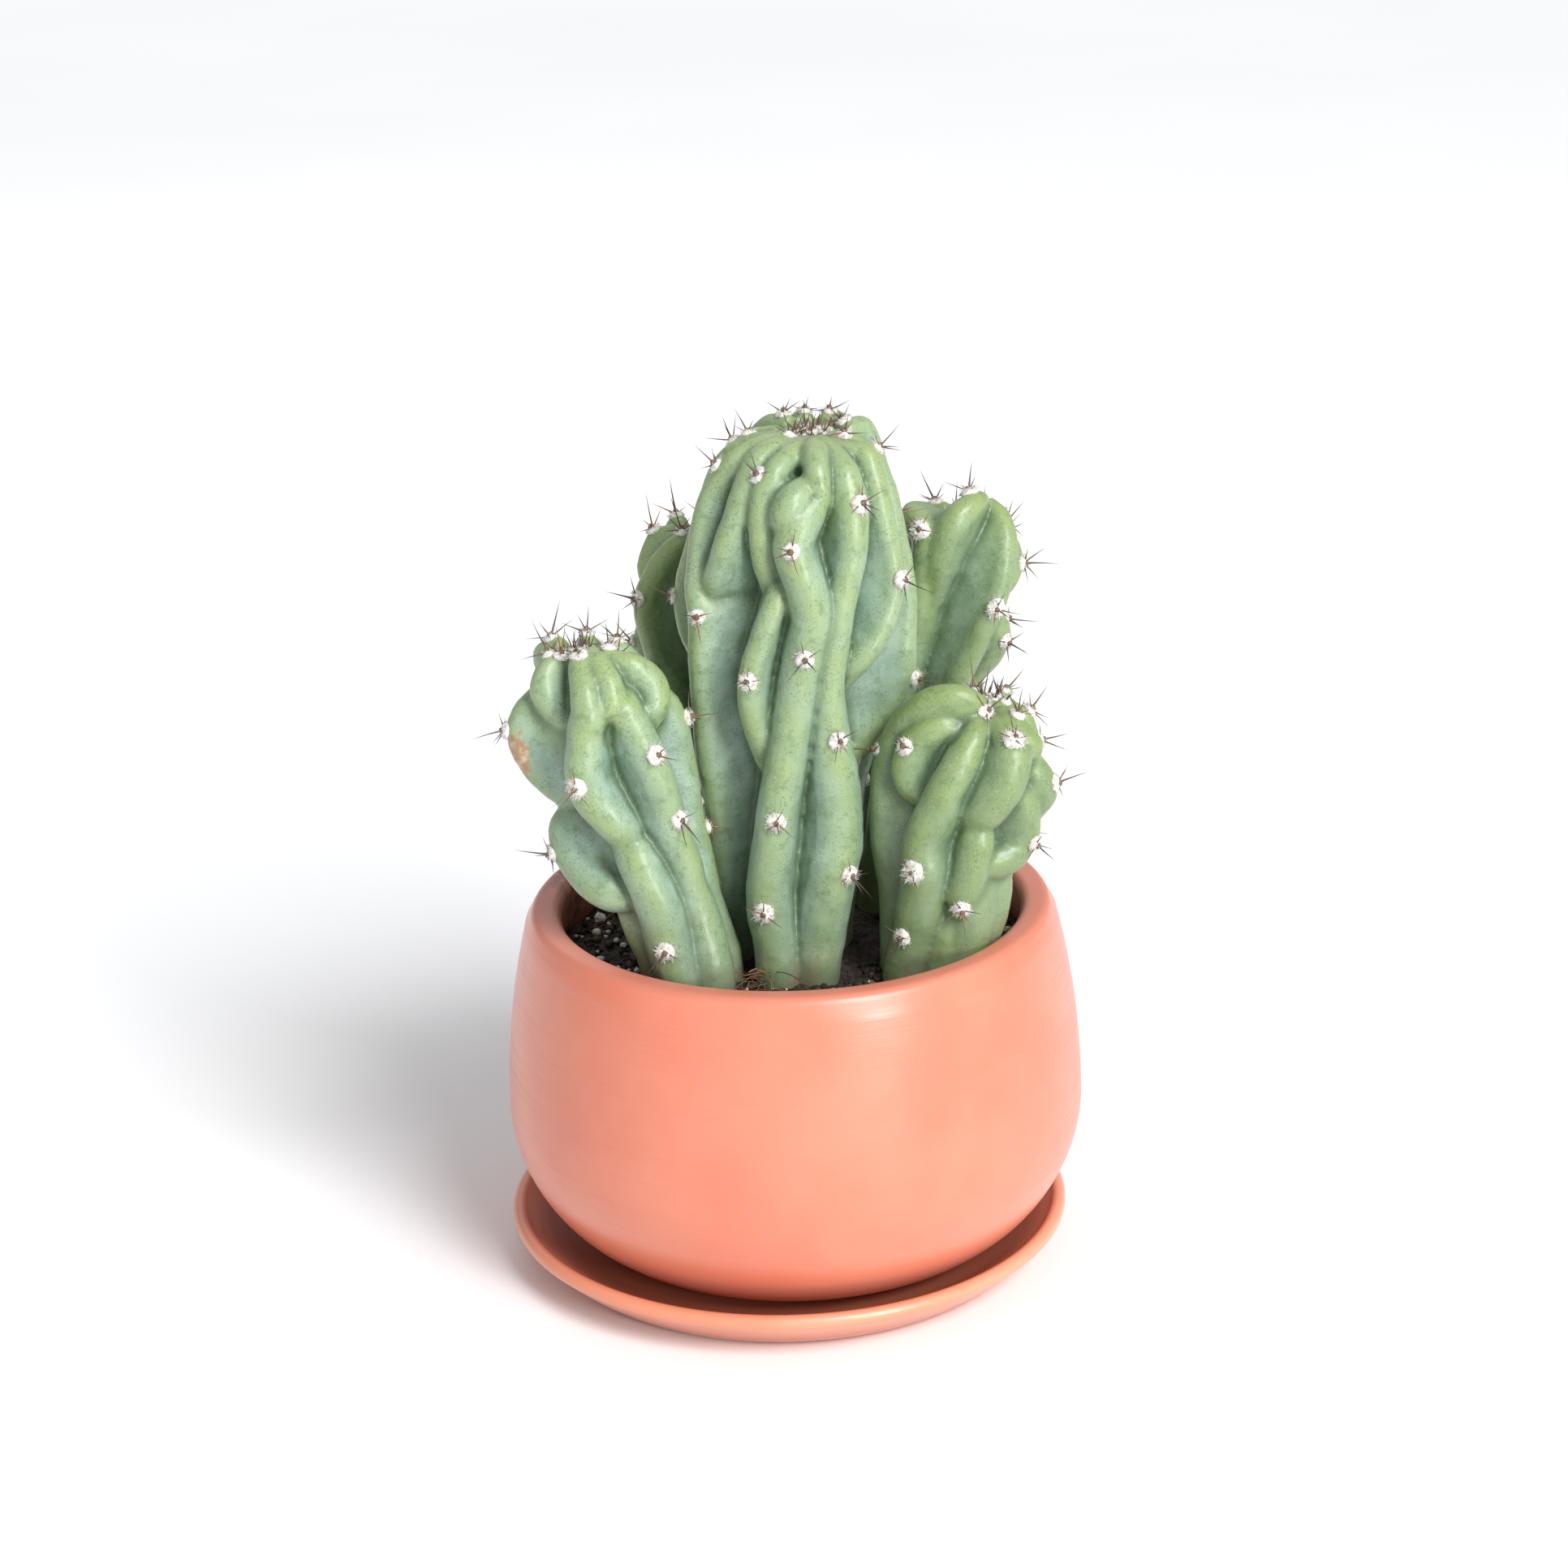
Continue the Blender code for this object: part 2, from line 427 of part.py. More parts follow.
def pot_outer_radius(height):
    """The pot's outside: a rounded underside up to the belly, then a slow curve in to the rim."""
    if height < POT_BELLY_HEIGHT:
        rise = max(height, 0.0) / POT_BELLY_HEIGHT
        swell = (1 - (1 - rise) ** POT_BOWL_POWER) ** (1 / POT_BOWL_POWER)
        return POT_FOOT_RADIUS + (POT_BELLY_RADIUS - POT_FOOT_RADIUS) * swell
    rise = (height - POT_BELLY_HEIGHT) / (POT_HEIGHT - POT_BELLY_HEIGHT)
    rim_radius = POT_MOUTH_RADIUS + POT_RIM_WIDTH
    return POT_BELLY_RADIUS - (POT_BELLY_RADIUS - rim_radius) * rise ** 2


def pot_inner_radius(height):
    """The pot's inside, one wall in from the outside, closing in to the mouth."""
    neck = POT_HEIGHT - 2 * POT_RIM_ROUNDING
    start = POT_NECK_START * POT_HEIGHT
    inside = pot_outer_radius(height) - POT_WALL
    blend = max(0.0, (height - start) / (neck - start))
    return inside + (POT_MOUTH_RADIUS - inside) * min(blend, 1.0) ** 2


def inside_profile(gap):
    """Points (radius, height) down the inside from neck to floor, this far in from the clay."""
    heights = np.linspace(POT_HEIGHT - POT_RIM_ROUNDING, POT_FLOOR + POT_CORNER_HEIGHT, 6)
    points = [(pot_inner_radius(h) - gap, h) for h in heights]
    corner = points[-1][0]
    for inwards, up in POT_CORNER:
        points.append((corner * inwards, POT_FLOOR + gap + POT_CORNER_HEIGHT * up))
    return points


def make_pot():
    shoulder = POT_HEIGHT - POT_RIM_ROUNDING
    low = [POT_BELLY_HEIGHT * share ** 2 for share in np.linspace(0, 1, 7)]
    high = list(np.linspace(POT_BELLY_HEIGHT, shoulder, 6))[1:-1]
    profile = [(pot_outer_radius(h), h) for h in low + high]
    middle = POT_MOUTH_RADIUS + POT_RIM_WIDTH / 2
    for across in np.linspace(1, -1, 8):
        drop = POT_RIM_ROUNDING * abs(across) ** 4
        profile.append((middle + across * POT_RIM_WIDTH / 2, POT_HEIGHT - drop))
    profile += inside_profile(0.0)[1:]
    profile += [(DRAIN_RADIUS, POT_FLOOR), (DRAIN_RADIUS, 0.0)]
    pot = add_object("pot", turned(profile, TURNED_SEGMENTS),
                     make_material("terracotta_pot", (0.68, 0.20, 0.11), 0.45))
    pot.location.z = POT_BASE
    pot.data.shade_smooth()
    pot.data.set_sharp_from_angle(angle=math.radians(SHARP_ANGLE))
    return pot


def make_saucer():
    """A shallow dish: flat under the pot, its wall flaring out to a rounded lip."""
    wall = SAUCER_LIP_RADIUS - SAUCER_LIP - SAUCER_BASE_RADIUS
    outside = wall + SAUCER_LIP * (1 - SAUCER_OVERHANG)
    profile = [(0.0, 0.0), (SAUCER_BASE_RADIUS - 2 * SAUCER_CHAMFER, 0.0),
               (SAUCER_BASE_RADIUS, SAUCER_CHAMFER)]
    for share in (0.35, 0.7):
        profile.append((SAUCER_BASE_RADIUS + outside * share,
                        (SAUCER_HEIGHT - SAUCER_LIP) * share ** SAUCER_FLARE_POWER))
    lip_centre = (SAUCER_LIP_RADIUS - SAUCER_LIP / 2, SAUCER_HEIGHT - SAUCER_LIP / 2)
    for angle in np.radians(np.linspace(-50, 150, 7)):
        profile.append((lip_centre[0] + SAUCER_LIP / 2 * math.cos(angle),
                        lip_centre[1] + SAUCER_LIP / 2 * math.sin(angle)))
    profile += [(SAUCER_BASE_RADIUS + wall * share, SAUCER_FLOOR + rise)
                for share, rise in SAUCER_COVE]
    profile += [(SAUCER_BASE_RADIUS * SAUCER_FLAT, SAUCER_FLOOR), (0.0, SAUCER_FLOOR)]
    saucer = add_object("saucer", turned(profile, TURNED_SEGMENTS),
                        make_material("terracotta_saucer", (0.72, 0.24, 0.12), 0.5))
    saucer.location = (*SAUCER_OFFSET, 0.0)
    saucer.data.shade_smooth()
    saucer.data.set_sharp_from_angle(angle=math.radians(SHARP_ANGLE))
    return saucer


# ---- soil ----------------------------------------------------------------------------------------
def soil_height(x, y):
    """The soil's surface, crumbly and a little lower towards the wall."""
    bumps = (math.sin(310 * x + 1.3) * math.cos(270 * y + 0.4)
             + 0.6 * math.sin(530 * y + 400 * x) + 0.4 * math.cos(640 * x - 350 * y))
    outward = math.hypot(x, y) / POT_MOUTH_RADIUS
    return SOIL_LEVEL + SOIL_RELIEF * bumps / 2 - SOIL_SAG * outward ** 3


def make_soil(sockets):
    """Fills the pot up to SOIL_LEVEL, with a socket for each column."""
    inside = inside_profile(CLEARANCE)
    top = SOIL_LEVEL - POT_BASE
    radii, heights = zip(*reversed(inside))
    top_radius = np.interp(top, heights, radii)
    profile = [(0.0, SOIL_LEVEL)]
    profile += [(top_radius * share, SOIL_LEVEL) for share in (0.2, 0.4, 0.6, 0.75, 0.88, 1.0)]
    rim_rows = len(profile)
    profile += [(r, POT_BASE + h) for r, h in inside if h < top - SOIL_EDGE]
    profile.append((0.0, POT_BASE + POT_FLOOR + CLEARANCE))
    bm = turned(profile, TURNED_SEGMENTS)
    bm.verts.ensure_lookup_table()
    for vertex in bm.verts[:1 + (rim_rows - 1) * TURNED_SEGMENTS]:
        vertex.co.z = soil_height(vertex.co.x, vertex.co.y)
    soil = add_object("soil", bm, make_material("potting_soil", (0.035, 0.024, 0.018), 0.95))
    for socket in sockets:
        cut(soil, socket)
    return soil


def make_perlite(soil):
    """Crushed white grains, each lowered until one clearance above the soil."""
    material = make_material("perlite", (0.86, 0.85, 0.82), 0.8)
    ground = BVHTree.FromObject(soil, bpy.context.evaluated_depsgraph_get())
    down = Vector((0, 0, -1))
    for index, (share, direction, size) in enumerate(PERLITE, 1):
        chance = random.Random(index)
        away = math.radians(direction)
        place = Vector((math.cos(away), math.sin(away), 0)) * share * POT_MOUTH_RADIUS
        bm = bmesh.new()
        bmesh.ops.create_icosphere(bm, subdivisions=2, radius=PERLITE_RADIUS * size)
        drops = []
        for vertex in bm.verts:
            vertex.co *= 1 + chance.uniform(-PERLITE_ROUGHNESS, PERLITE_ROUGHNESS)
            vertex.co.z *= PERLITE_FLATNESS
            start = place + vertex.co + Vector((0, 0, POT_TOP))
            hit = ground.ray_cast(start, down)[0]
            if hit:
                drops.append(start.z - POT_TOP - hit.z)
        place.z = CLEARANCE - min(drops)
        grain = add_object(f"perlite_{index:02d}", bm, material)
        grain.location = place
        grain.data.shade_smooth()


# ---- columns -------------------------------------------------------------------------------------
def smooth_rows(rows, steps):
    """Rows on a Catmull-Rom curve through the given rows, each stretch in this many steps."""
    rows = np.array(rows, float)
    directions = np.unwrap(np.radians(rows[:, 1]))
    rows[:, 1] = np.degrees(directions)
    padded = np.vstack([2 * rows[0] - rows[1], rows, 2 * rows[-1] - rows[-2]])
    found = []
    for before, start, end, after in zip(padded, padded[1:], padded[2:], padded[3:]):
        for t in np.arange(steps) / steps:
            found.append(0.5 * (2 * start + (end - before) * t
                                + (2 * before - 5 * start + 4 * end - after) * t ** 2
                                + (3 * start - before - 3 * end + after) * t ** 3))
    found.append(rows[-1])
    return np.array(found)


def axis_point(stem, height):
    x = np.interp(height, stem.axis[:, 0], stem.axis[:, 1])
    y = np.interp(height, stem.axis[:, 0], stem.axis[:, 2])
    return np.array([x, y, height])


def rib_sections(stem, flare, rows):
    """The rings of points round a rib, one for each of its smoothed rows."""
    rows = smooth_rows(rows, SECTION_STEPS)
    fan = stem.top - stem.crown_drop
    crests = []
    roots = []
    for height, direction, reach, _ in rows:
        away = math.radians(direction)
        crests.append(axis_point(stem, height)
                      + reach * np.array([math.cos(away), math.sin(away), 0.0]))
        roots.append(axis_point(stem, min(height, fan)))
    along = np.gradient(np.array(crests), axis=0)
    sections = []
    for crest, root, ahead, row in zip(crests, roots, along, rows):
        length = np.linalg.norm(crest - root)
        outward = (crest - root) / length
        across = np.cross(outward, ahead)
        across /= np.linalg.norm(across)
        crest_radius = row[3]
        if row[0] > fan:
            crest_radius = min(crest_radius, CROWN_SHARE * row[2] + CROWN_CREST)
        sections.append([root + outward * u + across * v
                         for u, v in section_outline(length, crest_radius, flare)])
    return sections


def section_outline(length, crest_radius, flare):
    """Points (outwards, sideways) of a rib cut across: a rounded crest on a flaring wedge."""
    neck = length - crest_radius
    root_half = crest_radius + flare * length
    side = []
    for share in (0.0, 0.3, 0.6, 0.85):
        side.append((neck * share,
                     crest_radius + (root_half - crest_radius) * (1 - share) ** FLANK_POWER))
    arc = [(neck + crest_radius * math.cos(a), crest_radius * math.sin(a))
           for a in np.linspace(math.pi / 2, -math.pi / 2, CREST_STEPS + 1)]
    return side + arc + [(u, -v) for u, v in reversed(side)]


def core_sections(stem):
    """Rings round the column's middle, which the ribs stand on."""
    sections = []
    for height, radius in stem.core:
        centre = axis_point(stem, height)
        sections.append([centre + radius * np.array([math.cos(a), math.sin(a), 0.0])
                         for a in np.arange(CORE_SIDES) * 2 * math.pi / CORE_SIDES])
    return sections


def add_loft(bm, sections):
    """A closed skin over the sections, with a flat face at each end."""
    rings = []
    for section in sections:
        placed = [(x * PLAN_SCALE, y * PLAN_SCALE, SOIL_LEVEL + plant_height(z))
                  for x, y, z in section]
        rings.append([bm.verts.new(point) for point in placed])
    for first, second in zip(rings, rings[1:]):
        for i in range(len(first)):
            j = (i + 1) % len(first)
            bm.faces.new((first[i], first[j], second[j], second[i]))
    bm.faces.new(rings[0][::-1])
    bm.faces.new(rings[-1])


def plant_height(table_height):
    """Height above the soil in metres; below the soil it goes with the buried depth."""
    if table_height < 0:
        return table_height / TABLE_BURIED * BURIED_DEPTH
    return table_height * HEIGHT_SCALE


def grow_skin(obj, stem):
    """Joins the ribs into one skin, softens the grooves and thins out the triangles."""
    remesh = obj.modifiers.new("join", "REMESH")
    remesh.mode = "VOXEL"
    remesh.voxel_size = STEM_VOXEL
    soften = obj.modifiers.new("soften", "SMOOTH")
    soften.factor = 0.5
    soften.iterations = SMOOTHING_PASSES
    thin_out(obj, stem.triangles)


def thin_out(obj, triangles):
    """Adds a Decimate that leaves about this many triangles."""
    graph = bpy.context.evaluated_depsgraph_get()
    mesh = obj.evaluated_get(graph).to_mesh()
    mesh.calc_loop_triangles()
    count = len(mesh.loop_triangles)
    obj.evaluated_get(graph).to_mesh_clear()
    decimate = obj.modifiers.new("thin", "DECIMATE")
    decimate.use_collapse_triangulate = True
    decimate.ratio = min(1.0, triangles / count)


def stem_mesh(stem):
    bm = bmesh.new()
    add_loft(bm, core_sections(stem))
    for flare, rows in stem.ribs:
        add_loft(bm, rib_sections(stem, flare, rows))
    return bm


def make_socket(obj):
    """A cutter that is the object swollen by a little more than one clearance."""
    graph = bpy.context.evaluated_depsgraph_get()
    mesh = bpy.data.meshes.new_from_object(obj.evaluated_get(graph))
    socket = bpy.data.objects.new("socket_" + obj.name, mesh)
    socket.location = obj.location
    bpy.context.scene.collection.objects.link(socket)
    hide_cutter(socket)
    swell = socket.modifiers.new("swell", "DISPLACE")
    swell.mid_level = 0.0
    swell.strength = CLEARANCE * SOCKET_SWELL
    return socket


def make_stems(pot):
    """The columns, each cut back from the pot and those before it, and cutters for the soil."""
    wall = make_socket(pot)
    sockets = []
    for stem in STEMS:
        column = add_object(stem.name, stem_mesh(stem), make_material(stem.name, stem.colour, 0.5))
        grow_skin(column, stem)
        for cutter in (wall, *sockets):
            cut(column, cutter)
        column.data.shade_smooth()
        sockets.append(make_socket(column))
    return sockets


def main():
    clear_scene()
    make_saucer()
    pot = make_pot()
    soil = make_soil(make_stems(pot))
    make_perlite(soil)


main()
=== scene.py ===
"""Looks of the potted apple cactus: fine stems, woolly areoles and spines, soil and burnished clay.

Metres, +Z up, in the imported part's own frame. -Y is the front.
"""

import math
import random

import bpy
import numpy as np
from mathutils import Matrix, Vector, noise
from mathutils.bvhtree import BVHTree
from mathutils.kdtree import KDTree


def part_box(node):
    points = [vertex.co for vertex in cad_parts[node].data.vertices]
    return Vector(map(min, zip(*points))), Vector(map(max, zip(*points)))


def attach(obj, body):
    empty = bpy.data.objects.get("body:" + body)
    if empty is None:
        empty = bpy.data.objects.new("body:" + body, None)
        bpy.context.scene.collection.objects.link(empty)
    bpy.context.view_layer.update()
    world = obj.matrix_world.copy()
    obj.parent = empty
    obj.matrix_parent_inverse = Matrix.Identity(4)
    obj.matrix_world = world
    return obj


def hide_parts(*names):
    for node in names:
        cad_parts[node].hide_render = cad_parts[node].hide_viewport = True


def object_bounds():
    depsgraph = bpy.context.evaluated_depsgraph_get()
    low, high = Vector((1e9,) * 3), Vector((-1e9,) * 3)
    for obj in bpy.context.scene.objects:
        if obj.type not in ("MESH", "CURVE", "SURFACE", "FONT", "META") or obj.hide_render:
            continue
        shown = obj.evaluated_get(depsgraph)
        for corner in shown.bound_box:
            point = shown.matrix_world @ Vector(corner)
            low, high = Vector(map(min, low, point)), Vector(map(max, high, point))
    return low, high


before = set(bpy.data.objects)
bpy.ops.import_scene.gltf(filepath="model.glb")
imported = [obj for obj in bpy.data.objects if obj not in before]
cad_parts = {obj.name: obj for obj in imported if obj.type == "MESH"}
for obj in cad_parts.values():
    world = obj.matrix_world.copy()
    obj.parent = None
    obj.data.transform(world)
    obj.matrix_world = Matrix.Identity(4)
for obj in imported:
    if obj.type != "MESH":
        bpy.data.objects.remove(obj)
CAD_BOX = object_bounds()

# ---- places taken from the frame, and the sizes that go with them --------------------------------
POT_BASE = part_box("pot")[0][2]
POT_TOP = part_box("pot")[1][2]
POT_HEIGHT = POT_TOP - POT_BASE
POT_BELLY_RADIUS = (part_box("pot")[1][0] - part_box("pot")[0][0]) / 2
POT_FOOT_RADIUS = 0.0385
POT_BELLY_HEIGHT = 0.0316
POT_MOUTH_RADIUS = 0.0514
POT_RIM_WIDTH = 0.0071
POT_RIM_ROUNDING = 0.0022
POT_WALL = 0.0068
POT_FLOOR = 0.007
POT_BOWL_POWER = 1.8        # roundness of the underside
POT_NECK_START = 0.6        # share of the height above which the inside closes in to the mouth
POT_CORNER_HEIGHT = 0.012   # where the inside turns in towards the floor
POT_CORNER_SHARE = 0.86     # of that radius, where the turn is POT_CORNER_RISE over the floor
POT_CORNER_RISE = 0.004
POT_WAVER = 0.0012          # how far the thrown wall strays, as a share of its radius
POT_WORN_DEPTH = 0.0016     # the rim is dull down to this
POT_SHADE_HEIGHT = 0.011     # painted shade: the underside is darker below this
POT_STAIN_DIRECTION = 161   # of the soiled patch on the rim, in degrees
POT_STAIN_WIDTH = 13
DRAIN_RADIUS = 0.006

SAUCER_LOW, SAUCER_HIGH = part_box("saucer")
SAUCER_CENTRE = ((SAUCER_LOW[0] + SAUCER_HIGH[0]) / 2, (SAUCER_LOW[1] + SAUCER_HIGH[1]) / 2)
SAUCER_LIP_RADIUS = (SAUCER_HIGH[0] - SAUCER_LOW[0]) / 2
SAUCER_HEIGHT = SAUCER_HIGH[2]
SAUCER_BASE_RADIUS = 0.052
SAUCER_FLOOR = 0.0047
SAUCER_LIP = 0.0034
SAUCER_CHAMFER = 0.0006     # under the edge of the base
SAUCER_LIP_SHARE = 0.6      # of the lip that stands over the wall
SAUCER_FLARE_POWER = 1.4    # over 1 makes the outside of the wall curve up
SAUCER_COVE_POWER = 1.7     # and the same for the inside
SAUCER_FLAT = 0.92          # share of the base that is flat inside
SAUCER_WAVER = 0.001
SAUCER_SHADE_RADIUS = 0.055  # painted shade: the inside under the pot is darker within this

SOIL_LEVEL = POT_TOP - 0.010
SOIL_RELIEF = 0.0009
SOIL_SAG = 0.002            # how much lower it is at the wall
SOIL_EDGE = 0.006           # height of the soil's edge
SOIL_CRUMBLE = 0.0016       # fine relief, over the larger one
CRUMBS = 1500
CRUMB_SIZES = (0.0004, 0.0013)
PALE_CRUMBS = 0.12          # share of them
GRAINS = 230
GRAIN_SIZES = (0.00025, 0.0010)
# Tufts of coir that stick out of the soil: (x, y, height, fibres), in millimetres.
COIR_TUFTS = [(-34, -31, 4.5, 46), (-8.5, -31, 4.8, 30), (-43, 14, 1, 8), (44, 8, 1, 7),
              (22, -38, 1, 8), (2, 44, 1, 10)]
COIR_STEPS = 7
COIR_LENGTHS = (0.003, 0.009)
COIR_THICKNESS = (0.00007, 0.00013)
GAP = 0.0003                # between pieces that touch

MM = 0.001                  # the stems' tables are in millimetres

# ---- fineness ------------------------------------------------------------------------------------
TURNED_SEGMENTS = 192
SOIL_SEGMENTS = 200
SECTION_STEPS = 4           # sections between two crest points
CREST_STEPS = 8             # facets round a crest
CORE_SIDES = 15             # of a column's middle
STEM_VOXEL = 0.0006
SMOOTHING_PASSES = 3

# ---- the ribs' shape, as in the part -------------------------------------------------------------
SWELL_SPACING = 19.0        # between the areoles of a plain rib
RIB_SHOULDER = 8            # below its top a plain rib has its full reach
RIB_LOWEST = 8              # and below this height it has no more swellings
RIB_SWAY = 7                # degrees to each side
RIB_SWAY_LENGTH = 11        # height over which the sway turns by one radian
CROWN_SHARE = 0.18
CROWN_CREST = 0.5
FLANK_POWER = 1.1

# ---- the skin's surface and colours, in metres ---------------------------------------------------
DENT_DEPTH = 0.00022
DENT_SCALE = 190            # of the noise: the greater, the finer
GRAIN_DEPTH = 0.00006
GRAIN_SCALE = 700
CREST_COLOUR_WIDTH = 0.0048
CREASE_SHADE_DEPTH = 0.00016      # a hollow of this depth gets the full painted shade
GROOVE_PASSES = 6           # steps from vertex to vertex over which a hollow is sought
YOUNG_DEPTH = 0.022         # the skin grows younger from here, below the crown,
YOUNG_SPREAD = 0.03         # over this height
OLD_SKIN_AND_SHADE_HEIGHT = 0.038          # and older below this, above the soil, with painted shade low in the pot
FOOT_HEIGHT = 0.011         # soiled below this
# How much wax covers each column's skin.
BLOOM = {"stem_main": 0.9, "stem_left": 1.0, "stem_right_front": 0.25,
         "stem_right_back": 0.45, "stem_left_back": 0.3}
SCAR_STEM = "stem_left"
SCAR_PLACE = np.array([-0.0580, -0.0222, SOIL_LEVEL + 0.0525])
SCAR_SIZE = np.array([0.0034, 0.0034, 0.0062])

# ---- areoles and spines, in metres ---------------------------------------------------------------
CROWN_HEIGHT = 12           # millimetres below a column's top where its areoles turn upwards
AREOLE_SPREAD = 0.0022      # the skin's normal is averaged over this
WOOL_RADIUS = 0.00178
WOOL_FLATNESS = 0.55
WOOL_RINGS = 5
WOOL_SIDES = 14
WOOL_HAIRS = 70
HAIR_LENGTHS = (0.0004, 0.0010)
HAIR_RADII = (0.00007, 0.00005, 0.00002)
SPINE_THICKNESS = (0.00017, 0.00024)
SPINE_LENGTHS = (0.0032, 0.0068)
SPINE_LEANS = (48, 82)      # degrees away from the skin's normal
LONG_SPINE_LENGTHS = (0.0058, 0.0090)
LONG_SPINE_LEANS = (8, 30)
CROWN_SPINE_LENGTHS = (0.0025, 0.0055)
SPINE_SIDES = 6
SPINE_REACH = 0.0032        # how far a tip may stand out of the CAD model's box
SPINE_STEPS = 6
RUSTY_SHARE = 0.22          # of the spines away from the crown
GOLDEN_TURN = 0.382         # of a full turn, from one young areole to the next

# ---- light and camera ----------------------------------------------------------------------------
# Lights: (name, kind, place, watts or watts per square metre, width or angle).
LIGHTS = [("key", "SUN", (0.437, -0.601, 0.759), 2.65, 0.45),
          ("window", "AREA", (0.72, -1.03, 0.36), 6.0, 0.24),
          ("fill", "AREA", (-0.9, -0.8, 0.6), 0.6, 0.9),
          ("back", "AREA", (-0.2, 0.9, 0.9), 1.5, 0.8)]
LIGHTS_AIM = Vector((0, 0, 0.09))
WORLD_STRENGTH = 0.45
FLOOR_HALF = 6.0
CAMERA_PLACE = (-0.0007, -0.75974, 0.38763)
CAMERA_PITCH = 20.02        # degrees down
CAMERA_ROLL = -1.64
CAMERA_LENS = 83.85         # millimetres, with a sensor 36 wide


class Stem:
    """One column. Heights are above the soil; plan positions are from the pot's axis."""

    def __init__(self, name, crown_drop, axis, core, ribs):
        self.name = name
        self.crown_drop = crown_drop    # depth below the top where the ribs start to fan out
        self.axis = np.array(axis, float)
        self.core = np.array(core, float)
        self.ribs = ribs
        self.top = max(row[0] for _, rows in ribs for row in rows)


def rib_sway(phase, height):
    """How far, in degrees, a plain rib has strayed from its direction at this height."""
    return RIB_SWAY * math.sin(phase + height / RIB_SWAY_LENGTH)


def plain_rib(top, direction, reach, foot_reach, phase):
    """Rows of a rib that runs from the crown to its foot, swelling and swaying as it goes.

    The crest stands out furthest where an areole sits, every SWELL_SPACING.
    """
    rows = [(top, direction, 6, 2.2), (top - 1.5, direction, 0.7 * reach, 2.9),
            (top - RIB_SHOULDER, direction, 0.95 * reach, 3.1)]
    height = top - RIB_SHOULDER - SWELL_SPACING / 2
    side = 1
    while height > RIB_LOWEST:
        fade = min(1.0, height / (0.6 * top))
        full = foot_reach + (reach - foot_reach) * fade
        swell = 1.08 if side > 0 else 0.88
        rows.append((height, direction + rib_sway(phase, height), full * swell, 3.3))
        height -= SWELL_SPACING / 2
        side = -side
    return rows + [(-24, direction, foot_reach - 2, 4)]


